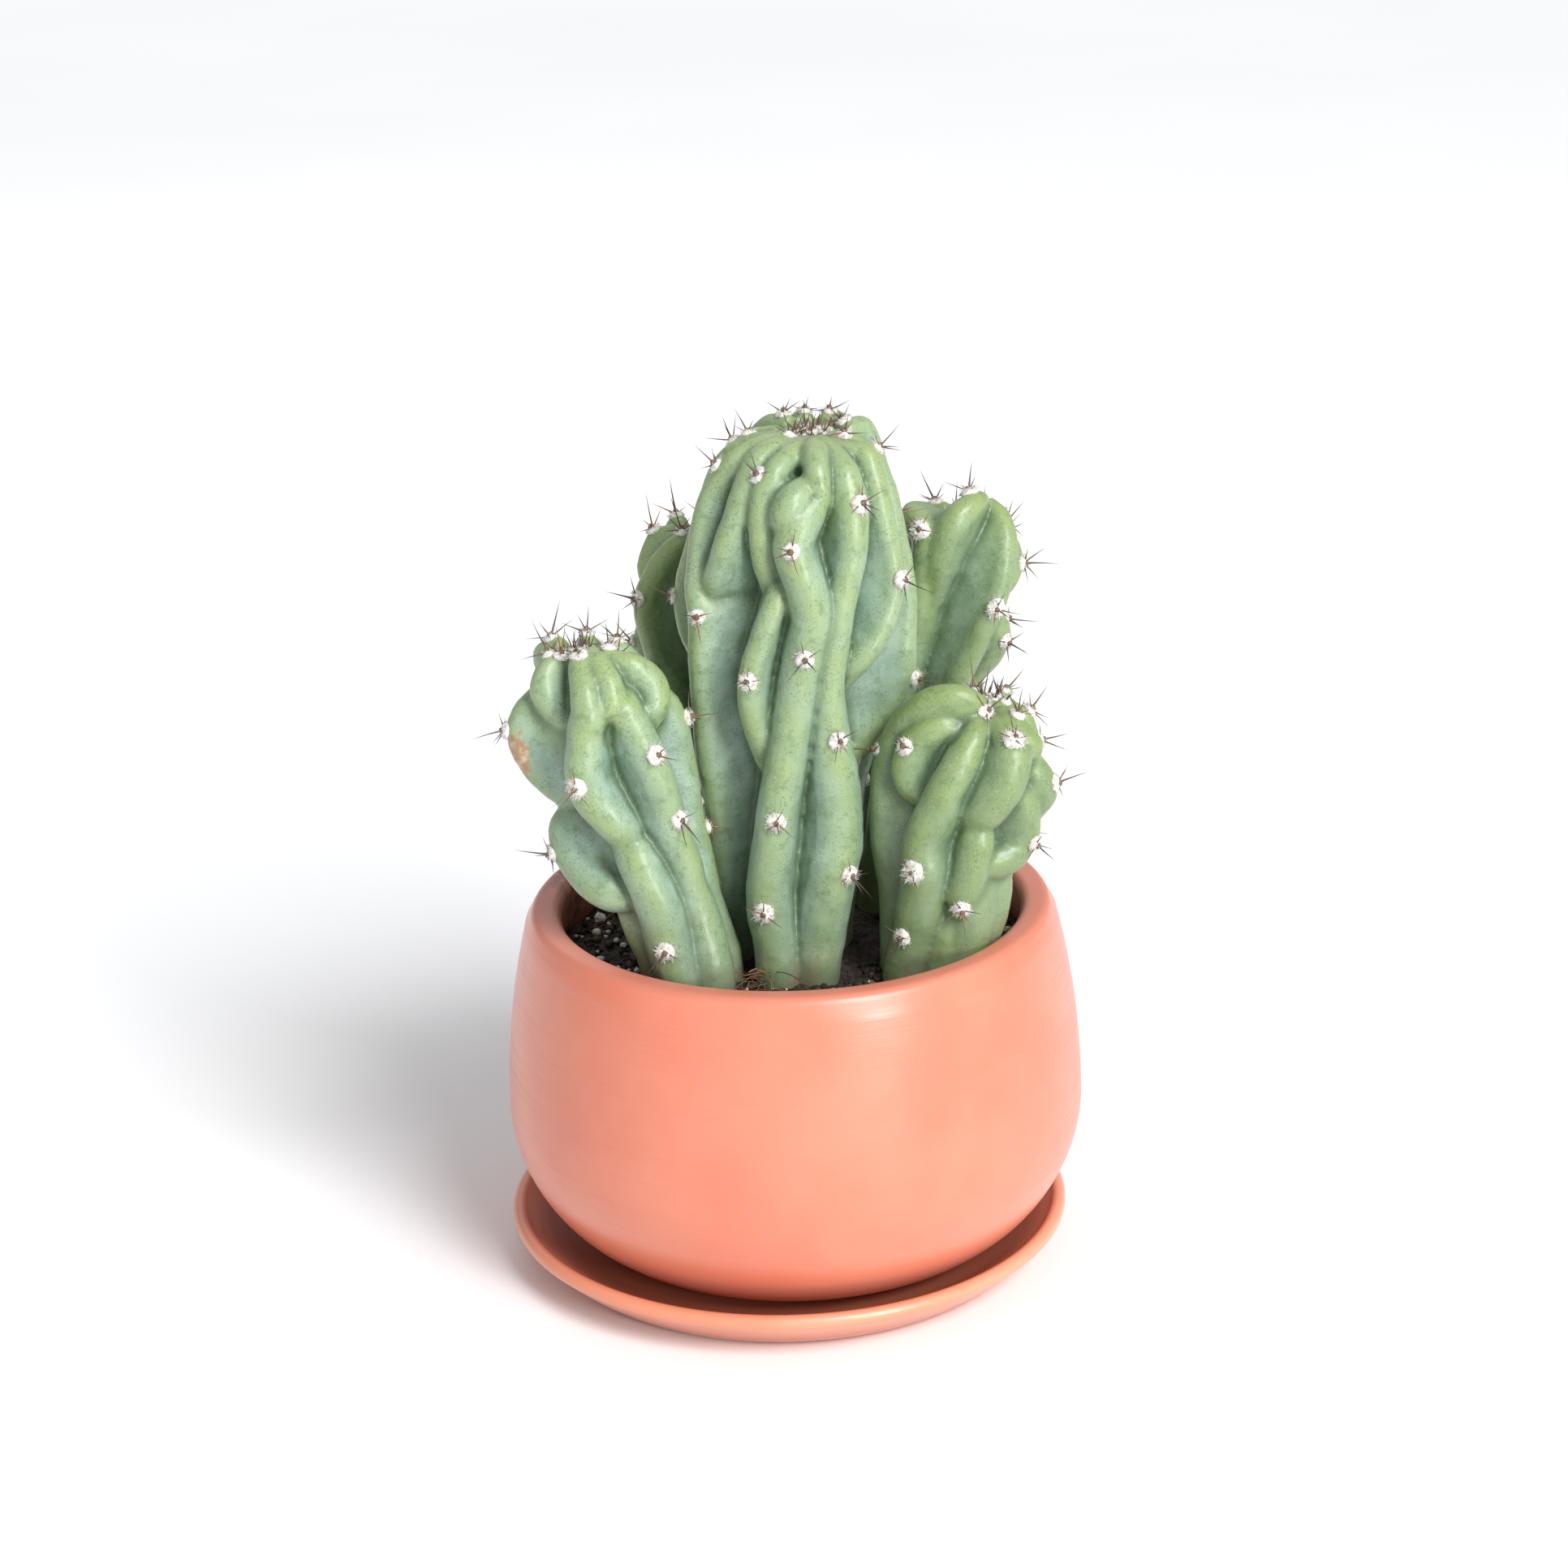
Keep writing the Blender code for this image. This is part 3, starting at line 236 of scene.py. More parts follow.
# Every table is in millimetres and degrees. An axis row is (height, x, y) and a core row is
# (height, radius). Each rib is (flare, rows): how much it widens towards the axis, as a share of
# its reach, and rows of (height, direction round the axis from +X, reach from the axis to the
# crest, half thickness at the crest), from the crown down.
STEM_MAIN = Stem(
    "stem_main", 18,
    axis=[(-24, 0, -2), (26, 0, -2), (76, 3, 0), (118, 7, 2)],
    core=[(-24, 8), (0, 13), (30, 14), (60, 14), (88, 14), (103, 13.5), (110, 12.5), (114.5, 9),
          (116.5, 4)],
    ribs=[
        # left back, ending in a lobe
        (0.15, [(118, -148, 8, 2), (117, -160, 15, 2.8), (113, -166, 20, 3), (107, -174, 22, 3),
                (98, -178, 24, 3), (90, -176, 26, 3), (81, -179, 27, 3),
                (72, -170, 25, 3), (62, -160, 19, 3)]),
        # left, down to the soil, its broad flank to the front
        (0.34, [(118, -132, 8, 2), (118, -138, 15, 2.8), (115, -144, 21, 2.8), (109, -152, 24, 2.8),
                (103, -155, 26, 2.8), (94, -155, 27, 2.8), (86, -153, 27.5, 2.8),
                (80, -148, 27.5, 3), (70, -147, 27, 3.2), (60, -147, 26, 3.4),
                (48, -147, 24.5, 3.6), (36, -148, 22, 4), (0, -148, 18, 4), (-24, -148, 12, 4)]),
        # left front, its crest folding back into the left rib
        (0.30, [(117, -112, 8, 2), (118, -122, 14, 2.8), (116, -127, 20, 3), (111, -129, 23, 3),
                (105, -131, 24.5, 3), (99, -134, 25.5, 3), (93, -138, 26, 3),
                (88, -144, 25.5, 3), (84, -150, 23, 3)]),
        # short rib left of the crown's front
        (0.06, [(118, -96, 8, 2), (117.5, -103, 14, 2.5), (115.5, -109, 19.5, 2.7),
                (112.5, -113, 22.5, 2.8), (108, -116, 24, 2.8), (102, -116, 24.3, 2.8),
                (96, -114, 24, 2.8), (90, -111, 22, 2.8), (83, -108, 17, 2.6)]),
        # nub
        (0.02, [(111.5, -91, 21, 2.2), (110, -95, 24.5, 3.2), (107.5, -99, 26.4, 3.8),
                (104.5, -101, 26.6, 3.8), (101.5, -102, 25, 3), (99, -101, 22, 2)]),
        # narrow rib from the crown's front
        (0.02, [(118, -86, 9, 2.2), (118.3, -86, 15, 2.7), (115.8, -86, 20, 2.8),
                (112, -84.5, 22.8, 2.6), (107.5, -82, 22.8, 2), (102, -80, 19, 1.8)]),
        # main front rib, down to the soil
        (0.04, [(109, -82, 21, 2.2), (106, -87, 24.5, 3.3), (102, -93, 27, 4.2),
                (98, -96, 28, 4.4), (94, -93, 28.3, 4.4), (88, -87, 28.6, 4.4),
                (82, -84, 28.6, 4.4), (76, -86, 28.6, 4.4), (65, -90, 28.6, 4.4),
                (54, -93, 28.6, 4.4), (42, -97, 28.4, 4.5), (28, -100, 28.2, 4.8),
                (18, -102, 28.2, 5), (9, -99, 28, 4.8), (0, -98, 27.5, 4.8), (-24, -98, 22, 4.8)]),
        # lobe left of the main front rib, its flank flat to the front
        (0.22, [(92, -98, 20, 2.5), (86, -103, 25, 2.6), (78, -108, 27.5, 2.8),
                (71, -111.5, 28.8, 3), (64, -111.5, 28.6, 3), (57, -109, 26.5, 3),
                (50, -105, 23, 2.8), (43, -101, 17, 2.5)]),
        # front right rib, down to the soil
        (0.18, [(118, -76, 8, 2), (117, -70, 12, 2.8), (115, -66, 17, 3.2), (112, -64, 20.5, 3.7),
                (106, -63, 24, 4), (101, -63, 25.3, 4), (95, -64, 26, 3.7), (88, -67, 26.5, 3.4),
                (80, -70, 27, 3.2), (72, -72, 27, 3.4), (64, -73, 27, 3.8), (56, -71, 27.3, 4.6),
                (49, -68, 27.4, 5.4), (40, -64, 27.2, 6), (31, -63, 27.4, 6.4),
                (25, -66, 27.6, 6.4), (17, -70, 27.2, 6.2), (9, -74, 27, 6),
                (0, -77, 26.5, 5.6), (-24, -77, 20, 5)]),
        # flat lobe that runs back into the front right rib
        (0.30, [(117, -60, 8, 2), (116, -48, 12.5, 2.6), (115, -38, 17, 2.8), (109, -40, 21, 3),
                (102, -39, 23.5, 3), (94, -36, 25.5, 2.8), (88, -36, 27, 2.8), (84, -38, 27.5, 2.8),
                (77, -44, 27, 2.8), (71, -54, 25.5, 2.8), (65, -62, 21, 2.6)]),
        # right rib: a straight crest with a broad flank, and an overhanging end
        (0.34, [(117, -48, 8, 2), (117, -30, 11, 2.8), (114, -14, 14, 3), (110, -6, 17, 3),
                (104, -8, 20, 3), (97, -13, 22.5, 2.8), (88, -12, 25, 2.8), (80, -12, 26.5, 2.8),
                (72, -14, 27, 3), (63, -15, 27, 3.2), (56, -20, 24.5, 3.4), (49, -30, 20, 3.6),
                (40, -38, 17, 4), (-24, -42, 12, 4)]),
        # the back, from right to left
        (0.20, [(118, 10, 8, 2), (118, 22, 13, 2.8), (115, 25, 16, 3), (108, 22, 19, 3),
                (96, 20, 21.5, 3), (80, 14, 23.5, 3), (66, 20, 22, 3), (52, 12, 21, 3.3),
                (36, 20, 18, 3.6), (20, 14, 16, 4), (-24, 14, 12, 4)]),
        (0.20, plain_rib(119, 58, 20, 16, 0.5)),
        (0.20, plain_rib(119, 96, 20, 16, 2.0)),
        (0.20, plain_rib(119, 132, 20, 16, 3.6)),
        (0.20, [(118, 172, 7, 2.2), (116, 166, 14, 2.8), (110, 160, 19, 3), (98, 151, 22.5, 3),
                (86, 158, 20, 3), (76, 153, 22.5, 3), (60, 158, 19, 3.3), (46, 150, 19.5, 3.6),
                (24, 157, 16, 4), (-24, 155, 12, 4)]),
        (0.20, [(72, 176, 16, 3), (62, -178, 20.5, 3.2), (48, 176, 18, 3.5), (36, -178, 18.5, 3.8),
                (20, 180, 16, 4), (-24, 180, 12, 4)]),
    ])

STEM_LEFT = Stem(
    "stem_left", 13,
    axis=[(-24, -20, -21), (6, -22, -22), (36, -34, -20), (74, -43, -16), (80, -44, -15)],
    core=[(-24, 8), (0, 10), (30, 10.5), (60, 10.5), (66, 9), (71.5, 6), (74, 3)],
    ribs=[
        # small lobe left of the crown
        (0.04, [(76.2, -140, 5, 2), (74.5, -146, 9.5, 2.8), (71, -148, 13, 3.4),
                (66.8, -148, 14.5, 3.4),
                (61.7, -147, 13, 3), (57, -146, 9, 2.5)]),
        # far left lobe, flat to the front
        (0.30, [(71, 178, 8, 2.5), (66.8, -178, 13, 2.8), (63.4, -176, 17.5, 3),
                (59, -175, 20.5, 3),
                (54, -175, 21.3, 3), (48, -176, 20, 3), (43, -176, 16.5, 3), (38, -178, 11, 3)]),
        # big front rib
        (0.08, [(76.2, -97, 6, 2), (75.3, -94, 10, 3.2), (71.9, -91, 14.5, 4),
                (68.5, -92, 16.5, 4.2),
                (64.2, -94, 17.5, 4.2), (60.9, -101, 17, 4), (55, -108, 18.3, 4.2),
                (50, -113, 18.3, 4.4), (46, -110, 18, 4.5), (43, -104, 17, 4.5),
                (39, -96, 16, 4), (34, -92, 12, 3.5)]),
        # front rib at the base
        (0.15, [(37, -93, 12, 4), (32, -91, 16, 4.5), (22, -90, 17, 5), (13, -98, 16, 5.4),
                (6, -103, 16, 5.4), (0, -104, 15, 5), (-24, -104, 11, 5)]),
        # short yellow-green rib from the crown's front
        (0.03, [(77, -70, 6, 2), (76.2, -68, 10.5, 2.8), (72.8, -66, 14.5, 3.2),
                (69.3, -68, 16.3, 3.3),
                (66, -72, 16.3, 3), (62.5, -76, 14, 2.5)]),
        # long rib down to the soil
        (0.12, [(69.3, -50, 13, 2.5), (66.8, -54, 16, 3.3), (64.2, -58, 17, 3.8),
                (61.7, -57, 17.5, 4),
                (57, -54, 18.3, 4.3), (48, -49, 18.3, 4.3), (41, -46, 17.4, 4.3),
                (31, -42, 16, 4.3), (24, -46, 15, 4.5), (15, -51, 15, 5), (4, -64, 15, 5.2),
                (-24, -66, 11, 5)]),
        # bulging lobe at the top right
        (0.20, [(76.2, -46, 8, 2.5), (75.3, -36, 14, 3.8), (71.9, -26, 17.5, 4.8),
                (67.7, -24, 18.3, 5.2),
                (63.4, -29, 17.5, 4.6), (58, -36, 13, 3)]),
        # right flank
        (0.25, [(70.2, 0, 11, 3), (65.1, -4, 17, 3.3), (59, 0, 18.5, 3.4), (52, 4, 18, 3.4),
                (43, 6, 17, 3.6), (30, 8, 15, 4), (15, 5, 12, 4), (-24, 5, 10, 4)]),
        # lower left lobe that hangs over the rim
        (0.25, [(42, -178, 13, 3), (37, -175, 17.5, 3.4), (31, -170, 19.5, 3.8),
                (26, -158, 18.5, 4), (23.5, -134, 16.5, 4.2), (25, -112, 12, 4)]),
        # base, left
        (0.10, [(24, -142, 12, 4), (8, -142, 13, 4), (-24, -142, 10, 4)]),
        (0.10, [(30, 178, 11, 4), (8, 178, 12, 4), (-24, 178, 9, 4)]),
        # the back
        (0.20, plain_rib(75.3, 34, 16, 13, 0.4)),
        (0.15, [(74.5, 70, 4, 2.4), (75.7, 84, 7.5, 3.8), (73.6, 88, 12, 3.8), (68.5, 84, 15, 3.6),
                (60, 90, 16.5, 3.4), (50, 82, 14, 3.6), (40, 90, 15.5, 3.8), (22, 84, 12.5, 4),
                (-24, 84, 10, 4)]),
        (0.20, [(76.2, 142, 6, 2.2), (72.8, 138, 14, 3), (65.1, 130, 17.5, 3.2), (58, 137, 18, 3.4),
                (49, 141, 14, 3.6), (40, 131, 15.5, 3.8), (28, 135, 12, 4), (-24, 132, 10, 4)]),
    ])

STEM_RIGHT_FRONT = Stem(
    "stem_right_front", 13,
    axis=[(-24, 29, -17), (6, 33, -19), (36, 38, -18), (56, 43, -15), (66, 45, -14)],
    core=[(-24, 8), (0, 10), (24, 11), (44, 10), (52, 8), (58, 6), (60.5, 3)],
    ribs=[
        # arch towards the main column
        (0.24, [(62, -100, 5, 2.2), (65, -118, 10, 3), (66, -136, 13.8, 3.6), (64, -153, 17.3, 3.6),
                (59, -168, 20.3, 3.6), (53, -178, 21.8, 3.6), (46, 178, 22.2, 3.8),
                (38, 178, 21, 4), (28, 178, 19, 4.2), (14, 178, 15, 4.5),
                (-24, 178, 10, 4.5)]),
        # small lobe inside the arch
        (0.12, [(58, -118, 8, 2.5), (59, -135, 14.5, 3), (57, -147, 18, 3.4), (53, -155, 20, 3.6),
                (48, -157, 20, 3.5), (43.5, -153, 18, 3), (39.5, -147, 13, 2.6)]),
        # main front rib
        (0.08, [(60, -98, 5, 2.2), (58, -103, 12, 3.5), (52, -109, 17, 4), (46, -116, 18.5, 4.2),
                (40, -122, 18.5, 4.4), (35, -129, 18, 4.5), (31, -130, 18, 4.7),
                (27, -126, 18, 5), (22, -127, 17, 5.2), (16, -129, 16.5, 5.2),
                (10, -132, 15.5, 5), (0, -140, 15, 5), (-24, -140, 11, 5)]),
        # short fat lobe
        (0.06, [(59, -76, 6, 2.2), (58, -72, 12, 3.8), (54, -67, 17, 4.5), (50, -64, 18.5, 4.8),
                (46, -67, 18.5, 5), (42, -73, 17.5, 5), (38, -82, 15, 4.2), (35, -90, 11, 3)]),
        # upper right
        (0.15, [(60, -50, 5, 2.2), (58.5, -50, 10.5, 3.2), (55.5, -47, 14.5, 4), (53, -43, 16, 4),
                (50, -38, 15.5, 3.5), (45, -34, 12, 3)]),
        # right edge
        (0.15, [(53, -34, 12, 3), (48, -32, 17, 3.8), (44, -24, 19, 4), (40, -12, 19.5, 4),
                (36, -8, 18, 4), (30, -6, 13, 3.5)]),
        # lower right lobe that hangs over the rim
        (0.22, [(50, -52, 12, 3), (43, -40, 16.5, 3.6), (37, -30, 18, 3.8), (33, -24, 18, 4),
                (29, -28, 17, 4.2), (27.5, -44, 15.5, 4.2), (28, -60, 14, 4),
                (30, -76, 12, 3.5)]),
        # under the fat lobe
        (0.10, [(38, -78, 12, 3.5), (34, -76, 15.5, 3.8), (30, -78, 15.5, 4),
                (25, -80, 15.5, 4), (21, -84, 15, 4), (18, -92, 13, 3.5), (19, -104, 10, 3)]),
        # base, right
        (0.15, [(28, -58, 12, 5), (16, -58, 13.5, 6), (6, -60, 13.5, 6), (-24, -62, 10, 5)]),
        (0.15, [(28, -26, 12, 5), (18, -24, 14, 6), (6, -25, 13, 6), (-24, -25, 10, 5)]),
        (0.15, [(18, -94, 11, 5), (8, -94, 12.5, 6), (-24, -94, 10, 5)]),
        # the back
        (0.12, [(60, 15, 5, 2.2), (56, 14, 10.5, 3.5), (48, 12, 14.5, 4), (40, 18, 16.5, 4),
                (33, 12, 14, 4), (22, 16, 14, 4), (-24, 14, 10, 4)]),
        (0.10, plain_rib(60, 60, 14, 12.5, 1.0)),
        (0.10, plain_rib(60, 105, 14, 13, 2.7)),
        (0.12, [(61.5, 150, 6, 2.2), (58, 144, 12.5, 3.5), (51, 138, 16, 4), (42, 144, 15, 4),
                (32, 138, 15, 4), (16, 142, 13, 4), (-24, 140, 10, 4)]),
    ])

STEM_RIGHT_BACK = Stem(
    "stem_right_back", 14,
    axis=[(-24, 20, 24), (16, 25, 25), (56, 33, 26), (94, 43, 26), (98, 44, 26)],
    core=[(-24, 8), (0, 9), (40, 10), (72, 10), (82, 8), (88, 4)],
    ribs=[
        # behind the main column's right edge
        (0.30, [(93, 178, 10, 2.6), (94, -166, 15.5, 3), (93, -146, 18, 3.2), (91, -132, 18.5, 3.4),
                (86, -126, 18, 3.4), (76, -126, 17, 3.5), (50, -122, 15, 4), (20, -118, 13, 4),
                (-24, -118, 10, 4)]),
        # front left rib, its rounded top level with the crown
        (0.16, [(96, -70, 5, 2.4), (97.5, -84, 9, 3.2), (97, -98, 13.5, 4), (94, -107, 17, 4.6),
                (89, -112, 18, 4.6), (82, -114, 17, 4), (75, -116, 14, 3.4), (66, -116, 10, 3)]),
        # big front rib: the flank left of its crest is broad and flat
        (0.42, [(95, -40, 5, 2.2), (93, -42, 9.5, 2.8), (89, -46, 14, 3), (84.5, -49, 16.8, 3),
                (79, -52, 18.2, 3), (73, -56, 19, 3), (65, -61, 18.5, 3),
                (56, -68, 17.5, 3.2), (40, -72, 15.5, 3.8), (20, -74, 13.5, 4.5),
                (-24, -74, 10, 4.5)]),
        # lobes on the right
        (0.16, [(90, -12, 7, 2.5), (85.5, -16, 12.5, 3.2), (80, -20, 15.4, 3.8),
                (75.5, -27, 15.5, 3.6),
                (71, -38, 11.5, 3)]),
        (0.16, [(73, -48, 12, 3), (68, -43, 18, 3.2), (63, -37, 19, 3.8), (58, -36, 17.5, 3.6),
                (53, -38, 14, 3.3), (44, -44, 10, 3)]),
        # the back
        (0.25, [(89, 18, 5, 2.2), (84.5, 16, 10, 3), (77.5, 10, 13, 3), (71, 15, 13, 3.2),
                (63, 6, 15.5, 3.2), (52, 11, 13.5, 3.6), (38, 5, 15.5, 3.8), (20, 10, 12, 4),
                (-24, 8, 10, 4)]),
        (0.25, plain_rib(89, 56, 13, 12, 0.8)),
        (0.25, plain_rib(90, 102, 13.5, 12, 2.4)),
        (0.25, plain_rib(92.5, 148, 14, 12, 4.0)),
        (0.20, [(78, -168, 12, 3), (60, -168, 12, 4), (30, -168, 11, 4), (-24, -168, 10, 4)]),
    ])

STEM_LEFT_BACK = Stem(
    "stem_left_back", 14,
    axis=[(-24, -12, 27), (16, -15, 29), (56, -19, 30), (86, -19, 31), (91, -19, 31)],
    core=[(-24, 8), (0, 8), (40, 9), (68, 9), (78, 8), (85, 4)],
    ribs=[
        # left front rib with a broad, flat flank
        (0.38, [(89.5, -95, 5, 2.2), (88.5, -110, 11.5, 2.8), (84, -124, 15.5, 3),
                (75, -136, 18.3, 3), (68, -136, 18, 3), (59, -131, 16, 3.2),
                (51, -123, 14, 3.6), (20, -118, 12, 4), (-24, -116, 9, 4)]),
        (0.25, [(88.5, 168, 5, 2.2), (86, 171, 10.5, 3), (79, 177, 13.5, 3), (70, 170, 12.5, 3.2),
                (61, 178, 15, 3.2), (50, 172, 12.5, 3.6), (34, 178, 13, 3.8),
                (-24, 176, 9, 4)]),
        (0.25, plain_rib(89, 122, 14, 11, 0.2)),
        (0.25, plain_rib(88, 74, 14, 11, 1.7)),
        (0.25, plain_rib(88.5, 22, 14, 11, 3.1)),
        (0.20, plain_rib(89, -42, 13, 11, 4.4)),
        (0.25, [(81, -84, 11, 3), (70, -82, 12.5, 3.5), (45, -80, 12, 4), (20, -80, 11, 4),
                (-24, -80, 9, 4)]),
    ])

STEMS = [STEM_MAIN, STEM_LEFT, STEM_RIGHT_FRONT, STEM_RIGHT_BACK, STEM_LEFT_BACK]

# Areoles: (height above the soil, direction round the column's axis, how woolly, spines).
AREOLES = {
    "stem_main": [
        (113, -167, 1.0, 4), (118, -136, 1.0, 5), (109, -152, 1.0, 4), (81, -144, 1.0, 4),
        (58, -150, 0.9, 3), (38, -152, 0.8, 3), (81, -179, 1.0, 4), (117, -128, 1.1, 4),
        (116.5, -122, 1.15, 4), (109, -119, 1.1, 4), (118, -87, 1.1, 6), (98, -96, 1.1, 4),
        (75, -87, 1.15, 4), (39, -97, 1.2, 4), (18, -102, 1.3, 5), (70, -111, 1.2, 5),
        (106, -62, 1.2, 5), (56, -70, 1.2, 5), (25, -62, 1.2, 5), (115, -38, 1.0, 5),
        (88, -37, 1.2, 5), (110, -6, 1.0, 5), (63, -15, 1.1, 4), (117, 22, 1.0, 5),
        (96, 20, 1.0, 4), (66, 20, 1.0, 4), (36, 20, 0.9, 4), (110, 160, 1.0, 5),
        (86, 158, 1.0, 4), (60, 158, 1.0, 4), (30, 157, 0.9, 3), (60, -178, 0.9, 3),
    ],
    "stem_left": [
        (58, -175, 1.1, 4), (75, -92, 1.2, 4), (76, -128, 1.0, 5), (74.5, -150, 1.0, 5),
        (75.5, -38, 1.1, 5), (73, -22, 1.1, 5), (50, -113, 1.3, 4), (56, -53, 1.3, 3),
        (41, -46, 1.2, 4), (31, -170, 1.1, 4), (13, -98, 1.2, 3), (59, 0, 1.0, 4),
        (34, 8, 0.9, 3), (75, 84, 1.0, 5), (60, 90, 1.0, 4),
        (40, 90, 0.9, 4), (73, 138, 1.0, 5), (55, 137, 1.0, 4), (32, 134, 0.9, 3),
    ],
    "stem_right_front": [
        (66, -138, 1.1, 5), (50, -179, 0.7, 3), (53.5, -151, 1.1, 4), (60, -98, 1.2, 6),
        (58, -48, 1.0, 6), (56, 14, 1.0, 5), (28, -125, 1.4, 5), (12, -130, 1.1, 4),
        (55, -68, 1.4, 5), (44, -22, 1.1, 4), (31, -26, 1.1, 4), (19, -84, 1.2, 5),
        (50, 12, 1.0, 4), (30, 13, 0.9, 4), (52, 138, 1.0, 4), (30, 138, 0.9, 3),
    ],
    "stem_right_back": [
        (88, -127, 1.3, 5), (95.5, -99, 1.2, 6), (73, -59, 1.3, 5), (88, -14, 1.1, 5),
        (80, -20, 1.1, 5), (64, -40, 1.1, 5), (84.5, 16, 1.0, 5), (65, 6, 1.0, 4),
        (40, 7, 0.9, 4), (50, -71, 1.0, 3),
    ],
    "stem_left_back": [
        (87, -108, 1.0, 5), (75, -136, 1.1, 5), (59, -131, 0.9, 3), (85, 172, 1.0, 5),
        (61, 178, 1.0, 4), (36, 178, 0.9, 3),
    ],
}
PLAIN_RIBS = {
    "stem_main": [(119, 58, 0.5), (119, 96, 2.0), (119, 132, 3.6)],
    "stem_left": [(75, 34, 0.4)],
    "stem_right_front": [(60, 60, 1.0), (60, 105, 2.7)],
    "stem_right_back": [(89, 56, 0.8), (90, 102, 2.4), (92.5, 148, 4.0)],
    "stem_left_back": [(89, 122, 0.2), (88, 74, 1.7), (88.5, 22, 3.1)],
}
# Each column's growing point: (height, x, y), how wide its wool is, pads and share of rusty spines.
CROWNS = {
    "stem_main": (118.5, 7, 2, 4.2, 9, 0.6), "stem_left": (76, -44, -15, 3.0, 6, 0.15),
    "stem_right_front": (60.5, 45, -14, 3.0, 6, 0.15), "stem_right_back": (94, 44, 26, 2.4, 4, 0.2),
    "stem_left_back": (89, -19, 31, 2.4, 4, 0.2),
}

# ---- meshes --------------------------------------------------------------------------------------
class Shape:
    """Points, faces and one named number per point, gathered into one mesh."""

    def __init__(self):
        self.points = []
        self.faces = []
        self.values = {}

    def add(self, points, faces, **values):
        """Adds a closed shape. Each value is one number for all its points, or a list."""
        start = len(self.points)
        self.points.extend(tuple(p) for p in points)
        self.faces.extend(tuple(start + i for i in face) for face in faces)
        for name, value in values.items():
            numbers = value if isinstance(value, (list, np.ndarray)) else [value] * len(points)
            self.values.setdefault(name, []).extend(numbers)

    def build(self, name, material):
        mesh = bpy.data.meshes.new(name)
        mesh.from_pydata(self.points, [], self.faces)
        for value_name, numbers in self.values.items():
            add_value(mesh, value_name, numbers)
        mesh.materials.append(material)
        obj = bpy.data.objects.new(name, mesh)
        bpy.context.scene.collection.objects.link(obj)
        mesh.shade_smooth()
        return obj


def add_value(mesh, name, numbers):
    """One number for each vertex, which a material can read by name."""
    attribute = mesh.attributes.new(name, "FLOAT", "POINT")
    attribute.data.foreach_set("value", np.array(numbers, np.float32))


def declare(piece, slot, *nodes):
    """Every piece stands still with the pot."""
    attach(piece, "root")
    if nodes:
        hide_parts(*nodes)


def turned(profile, segments):
    """Points and faces of a closed profile of (radius, height) points turned about Z."""
    points = []
    rings = []
    for radius, height in profile:
        count = 1 if radius == 0.0 else segments
        rings.append(range(len(points), len(points) + count))
        for i in range(count):
            angle = 2 * math.pi * i / segments
            points.append((radius * math.cos(angle), radius * math.sin(angle), height))
    pairs = list(zip(rings, rings[1:]))
    if profile[0][0] != 0.0:
        pairs.append((rings[-1], rings[0]))
    faces = []
    for first, second in pairs:
        for i in range(segments):
            j = (i + 1) % segments
            corners = [first[i % len(first)], first[j % len(first)],
                       second[j % len(second)], second[i % len(second)]]
            faces.append(tuple(dict.fromkeys(corners)))
    return points, faces


def lump(centre, size, chance, rough, flat=1.0):
    """A crumb: an icosahedron split once, with its corners moved in and out."""
    points = []
    turn = Matrix.Rotation(chance.uniform(0, math.tau), 3, "Z") @ Matrix.Rotation(
        chance.uniform(0, math.tau), 3, "X")
    for corner in LUMP_POINTS:
        moved = turn @ (corner * size * (1 + chance.uniform(-rough, rough)))
        moved.z *= flat
        points.append(centre + moved)
    return points, LUMP_FACES


def unit_lump():
    """Corners and faces of a once-split icosahedron of radius 1."""
    golden = (1 + math.sqrt(5)) / 2
    corners = []
    for a in (-1, 1):
        for b in (-golden, golden):
            corners += [Vector((0, a, b)), Vector((a, b, 0)), Vector((b, 0, a))]
    for corner in corners:
        corner.normalize()
    edge = min((corners[0] - c).length for c in corners[1:]) * 1.01
    triangles = []
    for i in range(12):
        for j in range(i + 1, 12):
            for k in range(j + 1, 12):
                sides = ((i, j), (j, k), (i, k))
                if all((corners[a] - corners[b]).length < edge for a, b in sides):
                    triangles.append((i, j, k))
    points = list(corners)
    middles = {}
    faces = []
    for triangle in triangles:
        mids = []
        for a, b in zip(triangle, triangle[1:] + triangle[:1]):
            key = (min(a, b), max(a, b))
            if key not in middles:
                middles[key] = len(points)
                points.append((corners[a] + corners[b]).normalized())
            mids.append(middles[key])
        i, j, k = triangle
        faces += [(i, mids[0], mids[2]), (j, mids[1], mids[0]), (k, mids[2], mids[1]), tuple(mids)]
    outward = []
    for face in faces:
        a, b, c = (points[i] for i in face)
        outward.append(face if (b - a).cross(c - a).dot(a + b + c) > 0 else face[::-1])
    return points, outward


LUMP_POINTS, LUMP_FACES = unit_lump()


def tube(path, radii, sides):
    """A closed tube along the path; a radius for each of its points."""
    path = [Vector(p) for p in path]
    points = []
    side = (path[1] - path[0]).orthogonal().normalized()
    for i, centre in enumerate(path):
        ahead = (path[min(i + 1, len(path) - 1)] - path[max(i - 1, 0)]).normalized()
        side = (side - ahead * side.dot(ahead)).normalized()
        other = ahead.cross(side)
        for k in range(sides):
            angle = math.tau * k / sides
            points.append(centre + radii[i] * (side * math.cos(angle) + other * math.sin(angle)))
    faces = []
    for i in range(len(path) - 1):
        for k in range(sides):
            j = (k + 1) % sides
            faces.append((i * sides + k, i * sides + j, (i + 1) * sides + j, (i + 1) * sides + k))
    last = (len(path) - 1) * sides
    faces += [tuple(range(sides))[::-1], tuple(range(last, last + sides))]
    return points, faces


